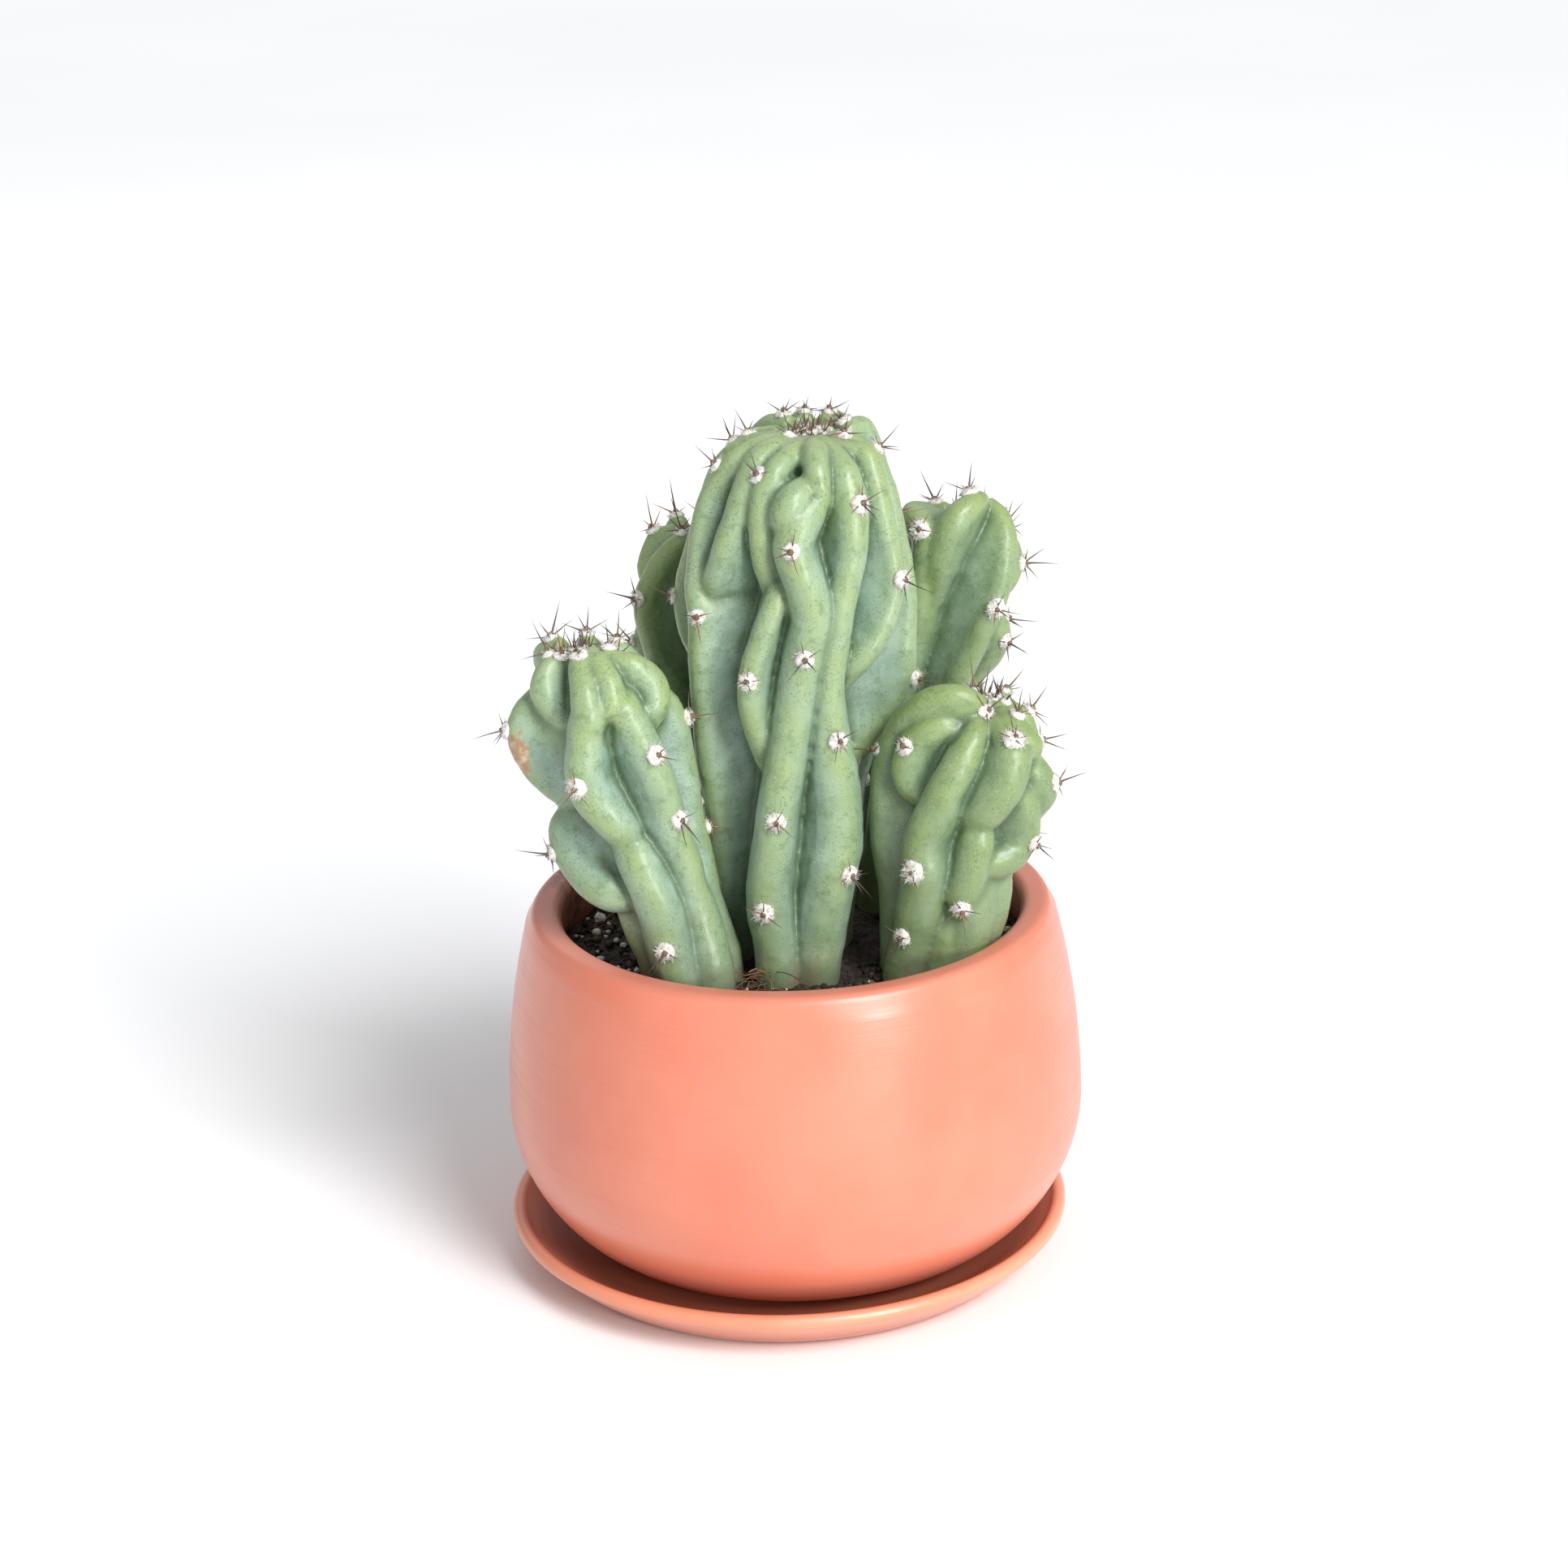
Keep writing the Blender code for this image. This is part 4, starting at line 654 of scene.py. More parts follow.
# ---- materials -----------------------------------------------------------------------------------
class Look:
    """A material whose nodes are added from left to right, ending in one Principled shader."""

    def __init__(self, name):
        self.material = bpy.data.materials.new(name)
        self.material.use_nodes = True
        self.nodes = self.material.node_tree.nodes
        self.shader = self.nodes["Principled BSDF"]

    def link(self, source, target):
        self.material.node_tree.links.new(source, target)

    def set(self, **values):
        for name, value in values.items():
            self.shader.inputs[name.replace("_", " ")].default_value = value

    def value(self, name):
        node = self.nodes.new("ShaderNodeAttribute")
        node.attribute_name = name
        return node.outputs["Fac"]

    def place(self, stretch=(1, 1, 1)):
        """Object coordinates, stretched."""
        coordinates = self.nodes.new("ShaderNodeTexCoord")
        mapping = self.nodes.new("ShaderNodeMapping")
        mapping.inputs["Scale"].default_value = stretch
        self.link(coordinates.outputs["Object"], mapping.inputs["Vector"])
        return mapping.outputs["Vector"]

    def clouds(self, scale, detail=3.0, rough=0.55, where=None):
        node = self.nodes.new("ShaderNodeTexNoise")
        node.inputs["Scale"].default_value = scale
        node.inputs["Detail"].default_value = detail
        node.inputs["Roughness"].default_value = rough
        self.link(where or self.place(), node.inputs["Vector"])
        return node.outputs["Fac"]

    def cells(self, scale):
        """Distance to the nearest of many scattered points."""
        node = self.nodes.new("ShaderNodeTexVoronoi")
        node.inputs["Scale"].default_value = scale
        self.link(self.place(), node.inputs["Vector"])
        return node.outputs["Distance"]

    def ramp(self, factor, low, high, start=0.0, end=1.0):
        """start where factor is at or under low, end where it is at or over high."""
        node = self.nodes.new("ShaderNodeMapRange")
        node.interpolation_type = "SMOOTHSTEP"
        for name, value in (("From Min", low), ("From Max", high), ("To Min", start),
                            ("To Max", end)):
            node.inputs[name].default_value = value
        self.link(factor, node.inputs["Value"])
        return node.outputs["Result"]

    def math(self, operation, first, second):
        node = self.nodes.new("ShaderNodeMath")
        node.operation = operation
        for socket, value in zip(node.inputs, (first, second)):
            if isinstance(value, (int, float)):
                socket.default_value = value
            else:
                self.link(value, socket)
        return node.outputs["Value"]

    def mix(self, factor, first, second):
        """Colours may be given as (r, g, b) or as a socket."""
        node = self.nodes.new("ShaderNodeMix")
        node.data_type = "RGBA"
        colours = (s for s in node.inputs if s.type == "RGBA")
        for socket, value in zip(colours, (first, second)):
            if isinstance(value, tuple):
                socket.default_value = (*value, 1.0)
            else:
                self.link(value, socket)
        if isinstance(factor, (int, float)):
            node.inputs["Factor"].default_value = factor
        else:
            self.link(factor, node.inputs["Factor"])
        return next(s for s in node.outputs if s.type == "RGBA")

    def colour(self, socket):
        self.link(socket, self.shader.inputs["Base Color"])

    def roughness(self, socket):
        self.link(socket, self.shader.inputs["Roughness"])

    def bump(self, *layers):
        """Each layer is (height socket, depth in metres)."""
        normal = None
        for socket, depth in layers:
            node = self.nodes.new("ShaderNodeBump")
            node.inputs["Distance"].default_value = depth
            self.link(socket, node.inputs["Height"])
            if normal:
                self.link(normal, node.inputs["Normal"])
            normal = node.outputs["Normal"]
        self.link(normal, self.shader.inputs["Normal"])


def skin_look():
    """Waxy skin: green under a pale bloom, yellower on the crests, with fine dark speckles."""
    look = Look("cactus_skin")
    mottle = look.ramp(look.clouds(160, 4), 0.33, 0.67)
    drift = look.ramp(look.clouds(55, 3), 0.35, 0.65, 0.7, 1.0)
    wax = look.math("MULTIPLY", look.value("bloom"), drift)
    bare = look.mix(mottle, (0.135, 0.205, 0.10), (0.205, 0.285, 0.15))
    flank = look.mix(wax, bare, look.mix(mottle, (0.22, 0.345, 0.28), (0.34, 0.475, 0.42)))
    crest = look.mix(look.value("bloom"), (0.215, 0.295, 0.09), (0.305, 0.40, 0.175))
    along = look.ramp(look.clouds(90, 3), 0.3, 0.7, 0.6, 1.0)
    skin = look.mix(look.math("MULTIPLY", look.value("crest"), along), flank, crest)
    skin = look.mix(look.math("MULTIPLY", look.value("young"), 0.45), skin, (0.33, 0.42, 0.15))
    # Painted shade: the hollows between the ribs are darkened.
    skin = look.mix(look.math("MULTIPLY", look.value("groove"), 0.92), skin, (0.075, 0.13, 0.065))
    patches = look.ramp(look.clouds(120, 2), 0.38, 0.6, 0.25, 0.85)
    speckle = look.ramp(look.clouds(2300, 3, 0.7), 0.54, 0.66, 0.0, 0.85)
    skin = look.mix(look.math("MULTIPLY", speckle, patches), skin, (0.08, 0.145, 0.065))
    blotch = look.ramp(look.clouds(420, 4, 0.65), 0.52, 0.66, 0.0, 0.45)
    skin = look.mix(blotch, skin, (0.12, 0.21, 0.09))
    dots = look.ramp(look.cells(1150), 0.10, 0.17, 0.45, 0.0)
    skin = look.mix(dots, skin, (0.50, 0.60, 0.46))
    # Older skin near the soil, together with painted shade low in the pot: the lower stem is
    # darkened.
    skin = look.mix(look.math("MULTIPLY", look.value("old"), 0.5), skin, (0.125, 0.185, 0.105))
    foot = look.math("MULTIPLY", look.value("foot"), look.ramp(look.clouds(260, 4), 0.35, 0.7))
    skin = look.mix(foot, skin, (0.25, 0.22, 0.13))
    cork = look.mix(look.ramp(look.clouds(600, 4), 0.4, 0.65), (0.36, 0.22, 0.12),
                    (0.58, 0.44, 0.30))
    skin = look.mix(look.value("scar"), skin, cork)
    look.colour(skin)
    look.roughness(look.ramp(look.clouds(220, 3), 0.3, 0.7, 0.38, 0.54))
    look.set(Subsurface_Weight=0.10, Subsurface_Scale=0.002, Coat_Weight=0.35,
             Coat_Roughness=0.30, Specular_IOR_Level=0.5)
    look.shader.inputs["Subsurface Radius"].default_value = (0.5, 1.0, 0.3)
    look.bump((look.clouds(420, 3), 0.00012), (look.clouds(2600, 2), 0.00003))
    return look.material


def wool_look():
    look = Look("areole_wool")
    look.colour(look.mix(look.ramp(look.clouds(900, 3), 0.3, 0.65),
                         (0.60, 0.56, 0.49), (0.90, 0.88, 0.84)))
    look.set(Roughness=0.95, Specular_IOR_Level=0.2, Sheen_Weight=0.3, Sheen_Roughness=0.5)
    look.bump((look.clouds(3500, 3), 0.0001))
    return look.material


def spine_look():
    """Grey-brown at the root and nearly black at the tip; some spines are rusty."""
    look = Look("cactus_spine")
    dark = look.mix(look.value("along"), (0.13, 0.085, 0.06), (0.022, 0.014, 0.012))
    rusty = look.mix(look.value("along"), (0.34, 0.15, 0.06), (0.10, 0.035, 0.015))
    shade = look.mix(look.value("rust"), dark, rusty)
    look.colour(look.mix(look.ramp(look.clouds(1800, 2), 0.35, 0.7, 0.0, 0.35), shade,
                         (0.30, 0.22, 0.16)))
    look.set(Roughness=0.42, Specular_IOR_Level=0.4)
    return look.material


def clay_look(name, body, pale, dull):
    """Burnished clay: faint streaks that run round it, pale salts, a duller rim, and painted shade
    on the pot's underside and in the saucer under it.
    """
    look = Look(name)
    drift = look.clouds(26, 3)
    streak = look.clouds(1.0, 4, 0.6, look.place((30, 30, 2200)))
    grit = look.clouds(1400, 3)
    tone = look.mix(look.ramp(drift, 0.36, 0.66), body, pale)
    tone = look.mix(look.ramp(streak, 0.35, 0.7, 0.0, 0.18), tone, dull)
    tone = look.mix(look.ramp(grit, 0.60, 0.75, 0.0, 0.25), tone, dull)
    tone = look.mix(look.math("MULTIPLY", look.value("worn"), 0.8), tone, dull)
    # Painted shade: the pot's underside and the saucer's inside under the pot are darkened towards
    # a deep brown.
    tone = look.mix(look.math("MULTIPLY", look.value("damp"), 0.8), tone, (0.34, 0.10, 0.055))
    stain = look.math("MULTIPLY", look.value("stain"), look.ramp(look.clouds(300, 4), 0.38, 0.6))
    look.colour(look.mix(stain, tone, (0.16, 0.085, 0.06)))
    shine = look.ramp(streak, 0.3, 0.7, 0.32, 0.42)
    look.roughness(look.math("ADD", shine, look.math("MULTIPLY", look.value("worn"), 0.25)))
    look.set(Specular_IOR_Level=0.5, Coat_Weight=0.5, Coat_Roughness=0.27)
    look.bump((streak, 0.00004), (grit, 0.00003))
    return look.material


def soil_look():
    look = Look("potting_soil")
    tone = look.mix(look.ramp(look.clouds(700, 4), 0.35, 0.65),
                    (0.012, 0.009, 0.008), (0.060, 0.042, 0.032))
    look.colour(look.mix(look.value("tone"), tone, (0.16, 0.085, 0.045)))
    look.roughness(look.ramp(look.clouds(900, 2), 0.3, 0.7, 0.72, 0.95))
    look.bump((look.clouds(1600, 4), 0.0003))
    return look.material


def perlite_look():
    look = Look("perlite_grain")
    look.colour(look.mix(look.ramp(look.clouds(1300, 3), 0.35, 0.6),
                         (0.52, 0.49, 0.44), (0.88, 0.87, 0.84)))
    look.set(Roughness=0.85)
    look.bump((look.clouds(2400, 3), 0.0002))
    return look.material


def coir_look():
    look = Look("coir_fibre")
    look.colour(look.mix(look.value("tone"), (0.10, 0.045, 0.02), (0.36, 0.20, 0.10)))
    look.roughness(look.ramp(look.clouds(2000, 2), 0.3, 0.7, 0.6, 0.85))
    look.bump((look.clouds(3000, 2), 0.00005))
    return look.material


# ---- pot and saucer ------------------------------------------------------------------------------
def pot_outer_radius(height):
    """The pot's outside: a rounded underside up to the belly, then a slow curve in to the rim."""
    if height < POT_BELLY_HEIGHT:
        rise = max(height, 0.0) / POT_BELLY_HEIGHT
        swell = (1 - (1 - rise) ** POT_BOWL_POWER) ** (1 / POT_BOWL_POWER)
        return POT_FOOT_RADIUS + (POT_BELLY_RADIUS - POT_FOOT_RADIUS) * swell
    rise = (height - POT_BELLY_HEIGHT) / (POT_HEIGHT - POT_BELLY_HEIGHT)
    rim_radius = POT_MOUTH_RADIUS + POT_RIM_WIDTH
    return POT_BELLY_RADIUS - (POT_BELLY_RADIUS - rim_radius) * rise ** 2


def pot_inner_radius(height):
    """The pot's inside, one wall in from the outside."""
    neck = POT_HEIGHT - 2 * POT_RIM_ROUNDING
    inside = pot_outer_radius(height) - POT_WALL
    start = POT_NECK_START * POT_HEIGHT
    blend = max(0.0, (height - start) / (neck - start))
    return inside + (POT_MOUTH_RADIUS - inside) * min(blend, 1.0) ** 2


def make_pot():
    shoulder = POT_HEIGHT - POT_RIM_ROUNDING
    low = [POT_BELLY_HEIGHT * share ** 2 for share in np.linspace(0, 1, 22)]
    high = list(np.linspace(POT_BELLY_HEIGHT, shoulder, 26))[1:-1]
    profile = [(pot_outer_radius(h), h) for h in low + high]
    middle = POT_MOUTH_RADIUS + POT_RIM_WIDTH / 2
    for across in np.sin(np.linspace(math.pi / 2, -math.pi / 2, 22)):
        drop = POT_RIM_ROUNDING * abs(across) ** 4
        profile.append((middle + across * POT_RIM_WIDTH / 2, POT_HEIGHT - drop))
    turn_in = POT_FLOOR + POT_CORNER_HEIGHT
    profile += [(pot_inner_radius(h), h) for h in np.linspace(shoulder, turn_in, 14)[1:]]
    corner = pot_inner_radius(turn_in)
    profile += [(corner * POT_CORNER_SHARE, POT_FLOOR + POT_CORNER_RISE),
                (corner * 0.72, POT_FLOOR)]
    profile += [(DRAIN_RADIUS, POT_FLOOR), (DRAIN_RADIUS, 0.0)]
    points, faces = turned(profile, TURNED_SEGMENTS)
    placed = []
    worn = []
    stain = []
    damp = []
    for x, y, z in points:
        waver = 1 + POT_WAVER * noise.noise(Vector((x * 18, y * 18, z * 22)))
        placed.append((x * waver, y * waver, POT_BASE + z))
        radius = math.hypot(x, y)
        inside = radius < POT_MOUTH_RADIUS + POT_RIM_WIDTH * 0.75 and z > POT_FLOOR
        worn.append(1.0 if inside else max(0.0, (z - POT_HEIGHT + POT_WORN_DEPTH) / POT_WORN_DEPTH))
        round_about = abs(math.degrees(math.atan2(y, x)) - POT_STAIN_DIRECTION)
        stain.append(max(0.0, 1 - round_about / POT_STAIN_WIDTH) if inside else 0.0)
        # Painted shade: the underside, where it sits in the saucer, is darkened.
        damp.append(0.0 if inside else max(0.0, 1 - z / POT_SHADE_HEIGHT))
    shape = Shape()
    shape.add(placed, faces, worn=worn, stain=stain, damp=damp)
    pot = shape.build("fired_pot", clay_look("terracotta_pot", (0.75, 0.205, 0.12),
                                             (0.79, 0.25, 0.155), (0.62, 0.20, 0.13)))
    declare(pot, "pot_clay", "pot")


def make_saucer():
    wall = SAUCER_LIP_RADIUS - SAUCER_LIP - SAUCER_BASE_RADIUS
    profile = [(0.0, 0.0), (SAUCER_BASE_RADIUS * 0.96, 0.0),
               (SAUCER_BASE_RADIUS, SAUCER_CHAMFER)]
    for share in np.linspace(0.1, 0.7, 8):
        rise = (SAUCER_HEIGHT - SAUCER_LIP) * share ** SAUCER_FLARE_POWER
        profile.append((SAUCER_BASE_RADIUS + (wall + SAUCER_LIP * SAUCER_LIP_SHARE) * share,
                        max(SAUCER_CHAMFER, rise)))
    lip_centre = (SAUCER_LIP_RADIUS - SAUCER_LIP / 2, SAUCER_HEIGHT - SAUCER_LIP / 2)
    for angle in np.radians(np.linspace(-50, 150, 21)):
        profile.append((lip_centre[0] + SAUCER_LIP / 2 * math.cos(angle),
                        lip_centre[1] + SAUCER_LIP / 2 * math.sin(angle)))
    start = np.array(profile[-1])
    end = np.array((SAUCER_BASE_RADIUS * SAUCER_FLAT, SAUCER_FLOOR))
    for share in np.linspace(0.12, 1.0, 9):
        ease = (1 - share) ** SAUCER_COVE_POWER
        profile.append((start[0] + (end[0] - start[0]) * share,
                        end[1] + (start[1] - end[1]) * ease))
    profile.append((0.0, SAUCER_FLOOR))
    points, faces = turned(profile, TURNED_SEGMENTS)
    placed = []
    damp = []
    for x, y, z in points:
        waver = 1 + SAUCER_WAVER * noise.noise(Vector((x * 20, y * 20, 5 + z * 20)))
        placed.append((SAUCER_CENTRE[0] + x * waver, SAUCER_CENTRE[1] + y * waver, z))
        # Painted shade: the saucer's inside is darkened under the pot.
        unshaded = (math.hypot(x, y) - SAUCER_SHADE_RADIUS) / (SAUCER_LIP_RADIUS - SAUCER_SHADE_RADIUS)
        damp.append(1 - min(1.0, max(0.0, unshaded)) if z > SAUCER_FLOOR / 2 else 0.0)
    shape = Shape()
    shape.add(placed, faces, worn=0.15, stain=0.0, damp=damp)
    saucer = shape.build("fired_saucer", clay_look("terracotta_saucer", (0.84, 0.30, 0.17),
                                                   (0.88, 0.36, 0.22), (0.72, 0.245, 0.135)))
    declare(saucer, "saucer_clay", "saucer")


# ---- stems ---------------------------------------------------------------------------------------
def smooth_rows(rows, steps):
    """Rows on a Catmull-Rom curve through the given rows, each stretch in this many steps."""
    rows = np.array(rows, float)
    rows[:, 1] = np.degrees(np.unwrap(np.radians(rows[:, 1])))
    padded = np.vstack([2 * rows[0] - rows[1], rows, 2 * rows[-1] - rows[-2]])
    found = []
    for before, start, end, after in zip(padded, padded[1:], padded[2:], padded[3:]):
        for t in np.arange(steps) / steps:
            found.append(0.5 * (2 * start + (end - before) * t
                                + (2 * before - 5 * start + 4 * end - after) * t ** 2
                                + (3 * start - before - 3 * end + after) * t ** 3))
    found.append(rows[-1])
    return np.array(found)


def axis_point(stem, height):
    x = np.interp(height, stem.axis[:, 0], stem.axis[:, 1])
    y = np.interp(height, stem.axis[:, 0], stem.axis[:, 2])
    return np.array([x, y, height])


def crest_points(stem, rows):
    """The crest's points for these rows, in the table's millimetres."""
    found = []
    for height, direction, reach, _ in rows:
        away = math.radians(direction)
        found.append(axis_point(stem, height)
                     + reach * np.array([math.cos(away), math.sin(away), 0.0]))
    return found


def rib_sections(stem, flare, rows):
    """The rings of points round a rib, one for each of its smoothed rows."""
    rows = smooth_rows(rows, SECTION_STEPS)
    fan = stem.top - stem.crown_drop
    crests = crest_points(stem, rows)
    roots = [axis_point(stem, min(row[0], fan)) for row in rows]
    along = np.gradient(np.array(crests), axis=0)
    sections = []
    for crest, root, ahead, row in zip(crests, roots, along, rows):
        length = np.linalg.norm(crest - root)
        outward = (crest - root) / length
        across = np.cross(outward, ahead)
        across /= np.linalg.norm(across)
        crest_radius = row[3]
        if row[0] > fan:
            crest_radius = min(crest_radius, CROWN_SHARE * row[2] + CROWN_CREST)
        sections.append([root + outward * u + across * v
                         for u, v in section_outline(length, crest_radius, flare)])
    return sections


def section_outline(length, crest_radius, flare):
    """Points (outwards, sideways) of a rib cut across: a rounded crest on a flaring wedge."""
    neck = length - crest_radius
    root_half = crest_radius + flare * length
    side = []
    for share in (0.0, 0.3, 0.6, 0.85):
        side.append((neck * share,
                     crest_radius + (root_half - crest_radius) * (1 - share) ** FLANK_POWER))
    arc = [(neck + crest_radius * math.cos(a), crest_radius * math.sin(a))
           for a in np.linspace(math.pi / 2, -math.pi / 2, CREST_STEPS + 1)]
    return side + arc + [(u, -v) for u, v in reversed(side)]


def core_sections(stem):
    """Rings round the column's middle, which the ribs stand on."""
    sections = []
    for height, radius in stem.core:
        centre = axis_point(stem, height)
        sections.append([centre + radius * np.array([math.cos(a), math.sin(a), 0.0])
                         for a in np.arange(CORE_SIDES) * 2 * math.pi / CORE_SIDES])
    return sections


def loft(sections):
    """Points and faces of a closed skin over the sections."""
    count = len(sections[0])
    points = [(x * MM, y * MM, SOIL_LEVEL + z * MM) for ring in sections for x, y, z in ring]
    faces = []
    for row in range(len(sections) - 1):
        for i in range(count):
            j = (i + 1) % count
            faces.append((row * count + i, row * count + j,
                          (row + 1) * count + j, (row + 1) * count + i))
    last = (len(sections) - 1) * count
    return points, faces + [tuple(range(count))[::-1], tuple(range(last, last + count))]


def grow_stem(stem, material):
    """The column's ribs joined into one fine skin."""
    rough = Shape()         # the closed core and ribs, which overlap until the remesh joins them
    rough.add(*loft(core_sections(stem)))
    for flare, rows in stem.ribs:
        rough.add(*loft(rib_sections(stem, flare, rows)))
    guide = rough.build("guide", material)
    remesh = guide.modifiers.new("join", "REMESH")
    remesh.mode = "VOXEL"
    remesh.voxel_size = STEM_VOXEL
    soften = guide.modifiers.new("soften", "SMOOTH")
    soften.factor = 0.5
    soften.iterations = SMOOTHING_PASSES
    graph = bpy.context.evaluated_depsgraph_get()
    mesh = bpy.data.meshes.new_from_object(guide.evaluated_get(graph))
    bpy.data.objects.remove(guide, do_unlink=True)
    mesh.name = stem.name + "_skin"
    roughen_skin(mesh)
    colour_skin(mesh, stem)
    mesh.shade_smooth()
    skin = bpy.data.objects.new(stem.name + "_skin", mesh)
    bpy.context.scene.collection.objects.link(skin)
    declare(skin, "cactus_skin", stem.name)
    return skin


def vertex_vectors(mesh, kind):
    """The place ("co") or the "normal" of each vertex, as rows."""
    found = np.empty(len(mesh.vertices) * 3, np.float32)
    mesh.vertices.foreach_get(kind, found)
    return found.reshape(-1, 3).astype(float)


def roughen_skin(mesh):
    """Shallow dents and swellings with a finer grain over them."""
    points = vertex_vectors(mesh, "co")
    depth = [DENT_DEPTH * noise.noise(Vector(p * DENT_SCALE))
             + GRAIN_DEPTH * noise.noise(Vector(p * GRAIN_SCALE)) for p in points]
    moved = points + vertex_vectors(mesh, "normal") * np.array(depth)[:, None]
    mesh.vertices.foreach_set("co", moved.astype(np.float32).ravel())
    mesh.update()


def hollowness(mesh, points, normals):
    """How far each vertex lies below its neighbours' mean, spread out, in metres."""
    edges = np.empty(len(mesh.edges) * 2, np.int32)
    mesh.edges.foreach_get("vertices", edges)
    first, second = edges.reshape(-1, 2).T
    count = np.bincount(edges, minlength=len(points))

    def neighbour_mean(values):
        total = np.zeros_like(values)
        np.add.at(total, first, values[second])
        np.add.at(total, second, values[first])
        return total / count.reshape(-1, *[1] * (values.ndim - 1))

    spread = points
    for _ in range(GROOVE_PASSES):
        spread = neighbour_mean(spread)
    depth = ((spread - points) * normals).sum(axis=1)
    for _ in range(GROOVE_PASSES):
        depth = neighbour_mean(depth)
    return depth


def colour_skin(mesh, stem):
    """Numbers for the skin's material: crests, painted shade in the hollows, young tips, older skin
    with painted shade low down, soiled feet and the scar.
    """
    points = vertex_vectors(mesh, "co")
    crests = []
    for _, rows in stem.ribs:
        crests += crest_points(stem, smooth_rows(rows, 3 * SECTION_STEPS))
    tree = KDTree(len(crests))
    for i, (x, y, z) in enumerate(crests):
        tree.insert((x * MM, y * MM, SOIL_LEVEL + z * MM), i)
    tree.balance()
    away = np.array([tree.find(p)[2] for p in points])
    depth = hollowness(mesh, points, vertex_vectors(mesh, "normal"))
    above = points[:, 2] - SOIL_LEVEL
    top = stem.top * MM
    add_value(mesh, "crest", np.exp(-(away / CREST_COLOUR_WIDTH) ** 2))
    # Painted shade in the hollows between the ribs.
    add_value(mesh, "groove", np.clip(depth / CREASE_SHADE_DEPTH, 0, 1))
    add_value(mesh, "young", np.clip((above - top + YOUNG_DEPTH) / YOUNG_SPREAD, 0, 1))
    add_value(mesh, "bloom", np.full(len(points), BLOOM[stem.name]))
    # Older skin and painted shade, growing towards the soil.
    add_value(mesh, "old", np.clip(1 - above / OLD_SKIN_AND_SHADE_HEIGHT, 0, 1))
    add_value(mesh, "foot", np.clip(1 - above / FOOT_HEIGHT, 0, 1))
    scar = np.zeros(len(points))
    if stem.name == SCAR_STEM:
        from_scar = np.linalg.norm((points - SCAR_PLACE) / SCAR_SIZE, axis=1)
        ragged = np.array([0.35 * noise.noise(Vector(p * 600)) for p in points])
        scar = np.clip((1 - from_scar + ragged) * 5, 0, 1)
    add_value(mesh, "scar", scar)


# ---- areoles and spines --------------------------------------------------------------------------
def skin_tree(skin):
    points = [v.co for v in skin.data.vertices]
    faces = [tuple(p.vertices) for p in skin.data.polygons]
    return BVHTree.FromPolygons(points, faces)


def areole_place(tree, stem, height, direction):
    """(point, normal) on the skin where the areole sits, seen from the column's axis."""
    x, y, z = axis_point(stem, height)
    middle = Vector((x * MM, y * MM, SOIL_LEVEL + z * MM))
    away = Vector((math.cos(math.radians(direction)), math.sin(math.radians(direction)), 0))
    rise = max(0.0, (height - stem.top + CROWN_HEIGHT) / CROWN_HEIGHT)
    start = middle + (away + Vector((0, 0, 1.2 * rise))) * 0.06
    aim = middle + Vector((0, 0, -0.010 * rise))
    point = tree.ray_cast(start, (aim - start).normalized())[0]
    if point is None:
        point = tree.find_nearest(middle + away * 0.02)[0]
    normal = Vector((0, 0, 0))
    for _, facing, _, _ in tree.find_nearest_range(point, AREOLE_SPREAD):
        normal += facing
    return point, normal.normalized()


def add_wool(shape, point, normal, size, chance):
    """A low felted pad with loose hairs that stand out of it."""
    upright = normal.to_track_quat("Z", "Y").to_matrix()
    radius = WOOL_RADIUS * size
    points = []
    for ring in range(WOOL_RINGS + 1):
        angle = math.pi * (0.02 + 0.98 * ring / WOOL_RINGS) * 0.75
        for k in range(WOOL_SIDES):
            turn = math.tau * k / WOOL_SIDES
            swell = radius * (1 + chance.uniform(-0.13, 0.13))
            points.append(Vector((swell * math.sin(angle) * math.cos(turn),
                                  swell * math.sin(angle) * math.sin(turn),
                                  WOOL_FLATNESS * swell * math.cos(angle))))
    last = WOOL_RINGS * WOOL_SIDES
    faces = [tuple(range(WOOL_SIDES)), tuple(range(last, last + WOOL_SIDES))[::-1]]
    for start in range(0, last, WOOL_SIDES):
        for k in range(WOOL_SIDES):
            j = (k + 1) % WOOL_SIDES
            faces.append((start + k, start + WOOL_SIDES + k, start + WOOL_SIDES + j, start + j))
    shape.add([point + upright @ p for p in points], faces)
    for _ in range(int(WOOL_HAIRS * size)):
        turn = chance.uniform(0, math.tau)
        lean = math.acos(1 - chance.random())
        out = Vector((math.sin(lean) * math.cos(turn), math.sin(lean) * math.sin(turn),
                      math.cos(lean)))
        root = Vector((out.x, out.y, WOOL_FLATNESS * out.z)) * radius * 0.9
        away = (out + Vector([chance.gauss(0, 0.45) for _ in range(3)])).normalized()
        length = chance.uniform(*HAIR_LENGTHS) * size
        path = [root, root + away * length * 0.6,
                root + away * length + Vector([chance.gauss(0, 0.00012) for _ in range(3)])]
        shape.add(*tube([point + upright @ p for p in path], HAIR_RADII, 3))


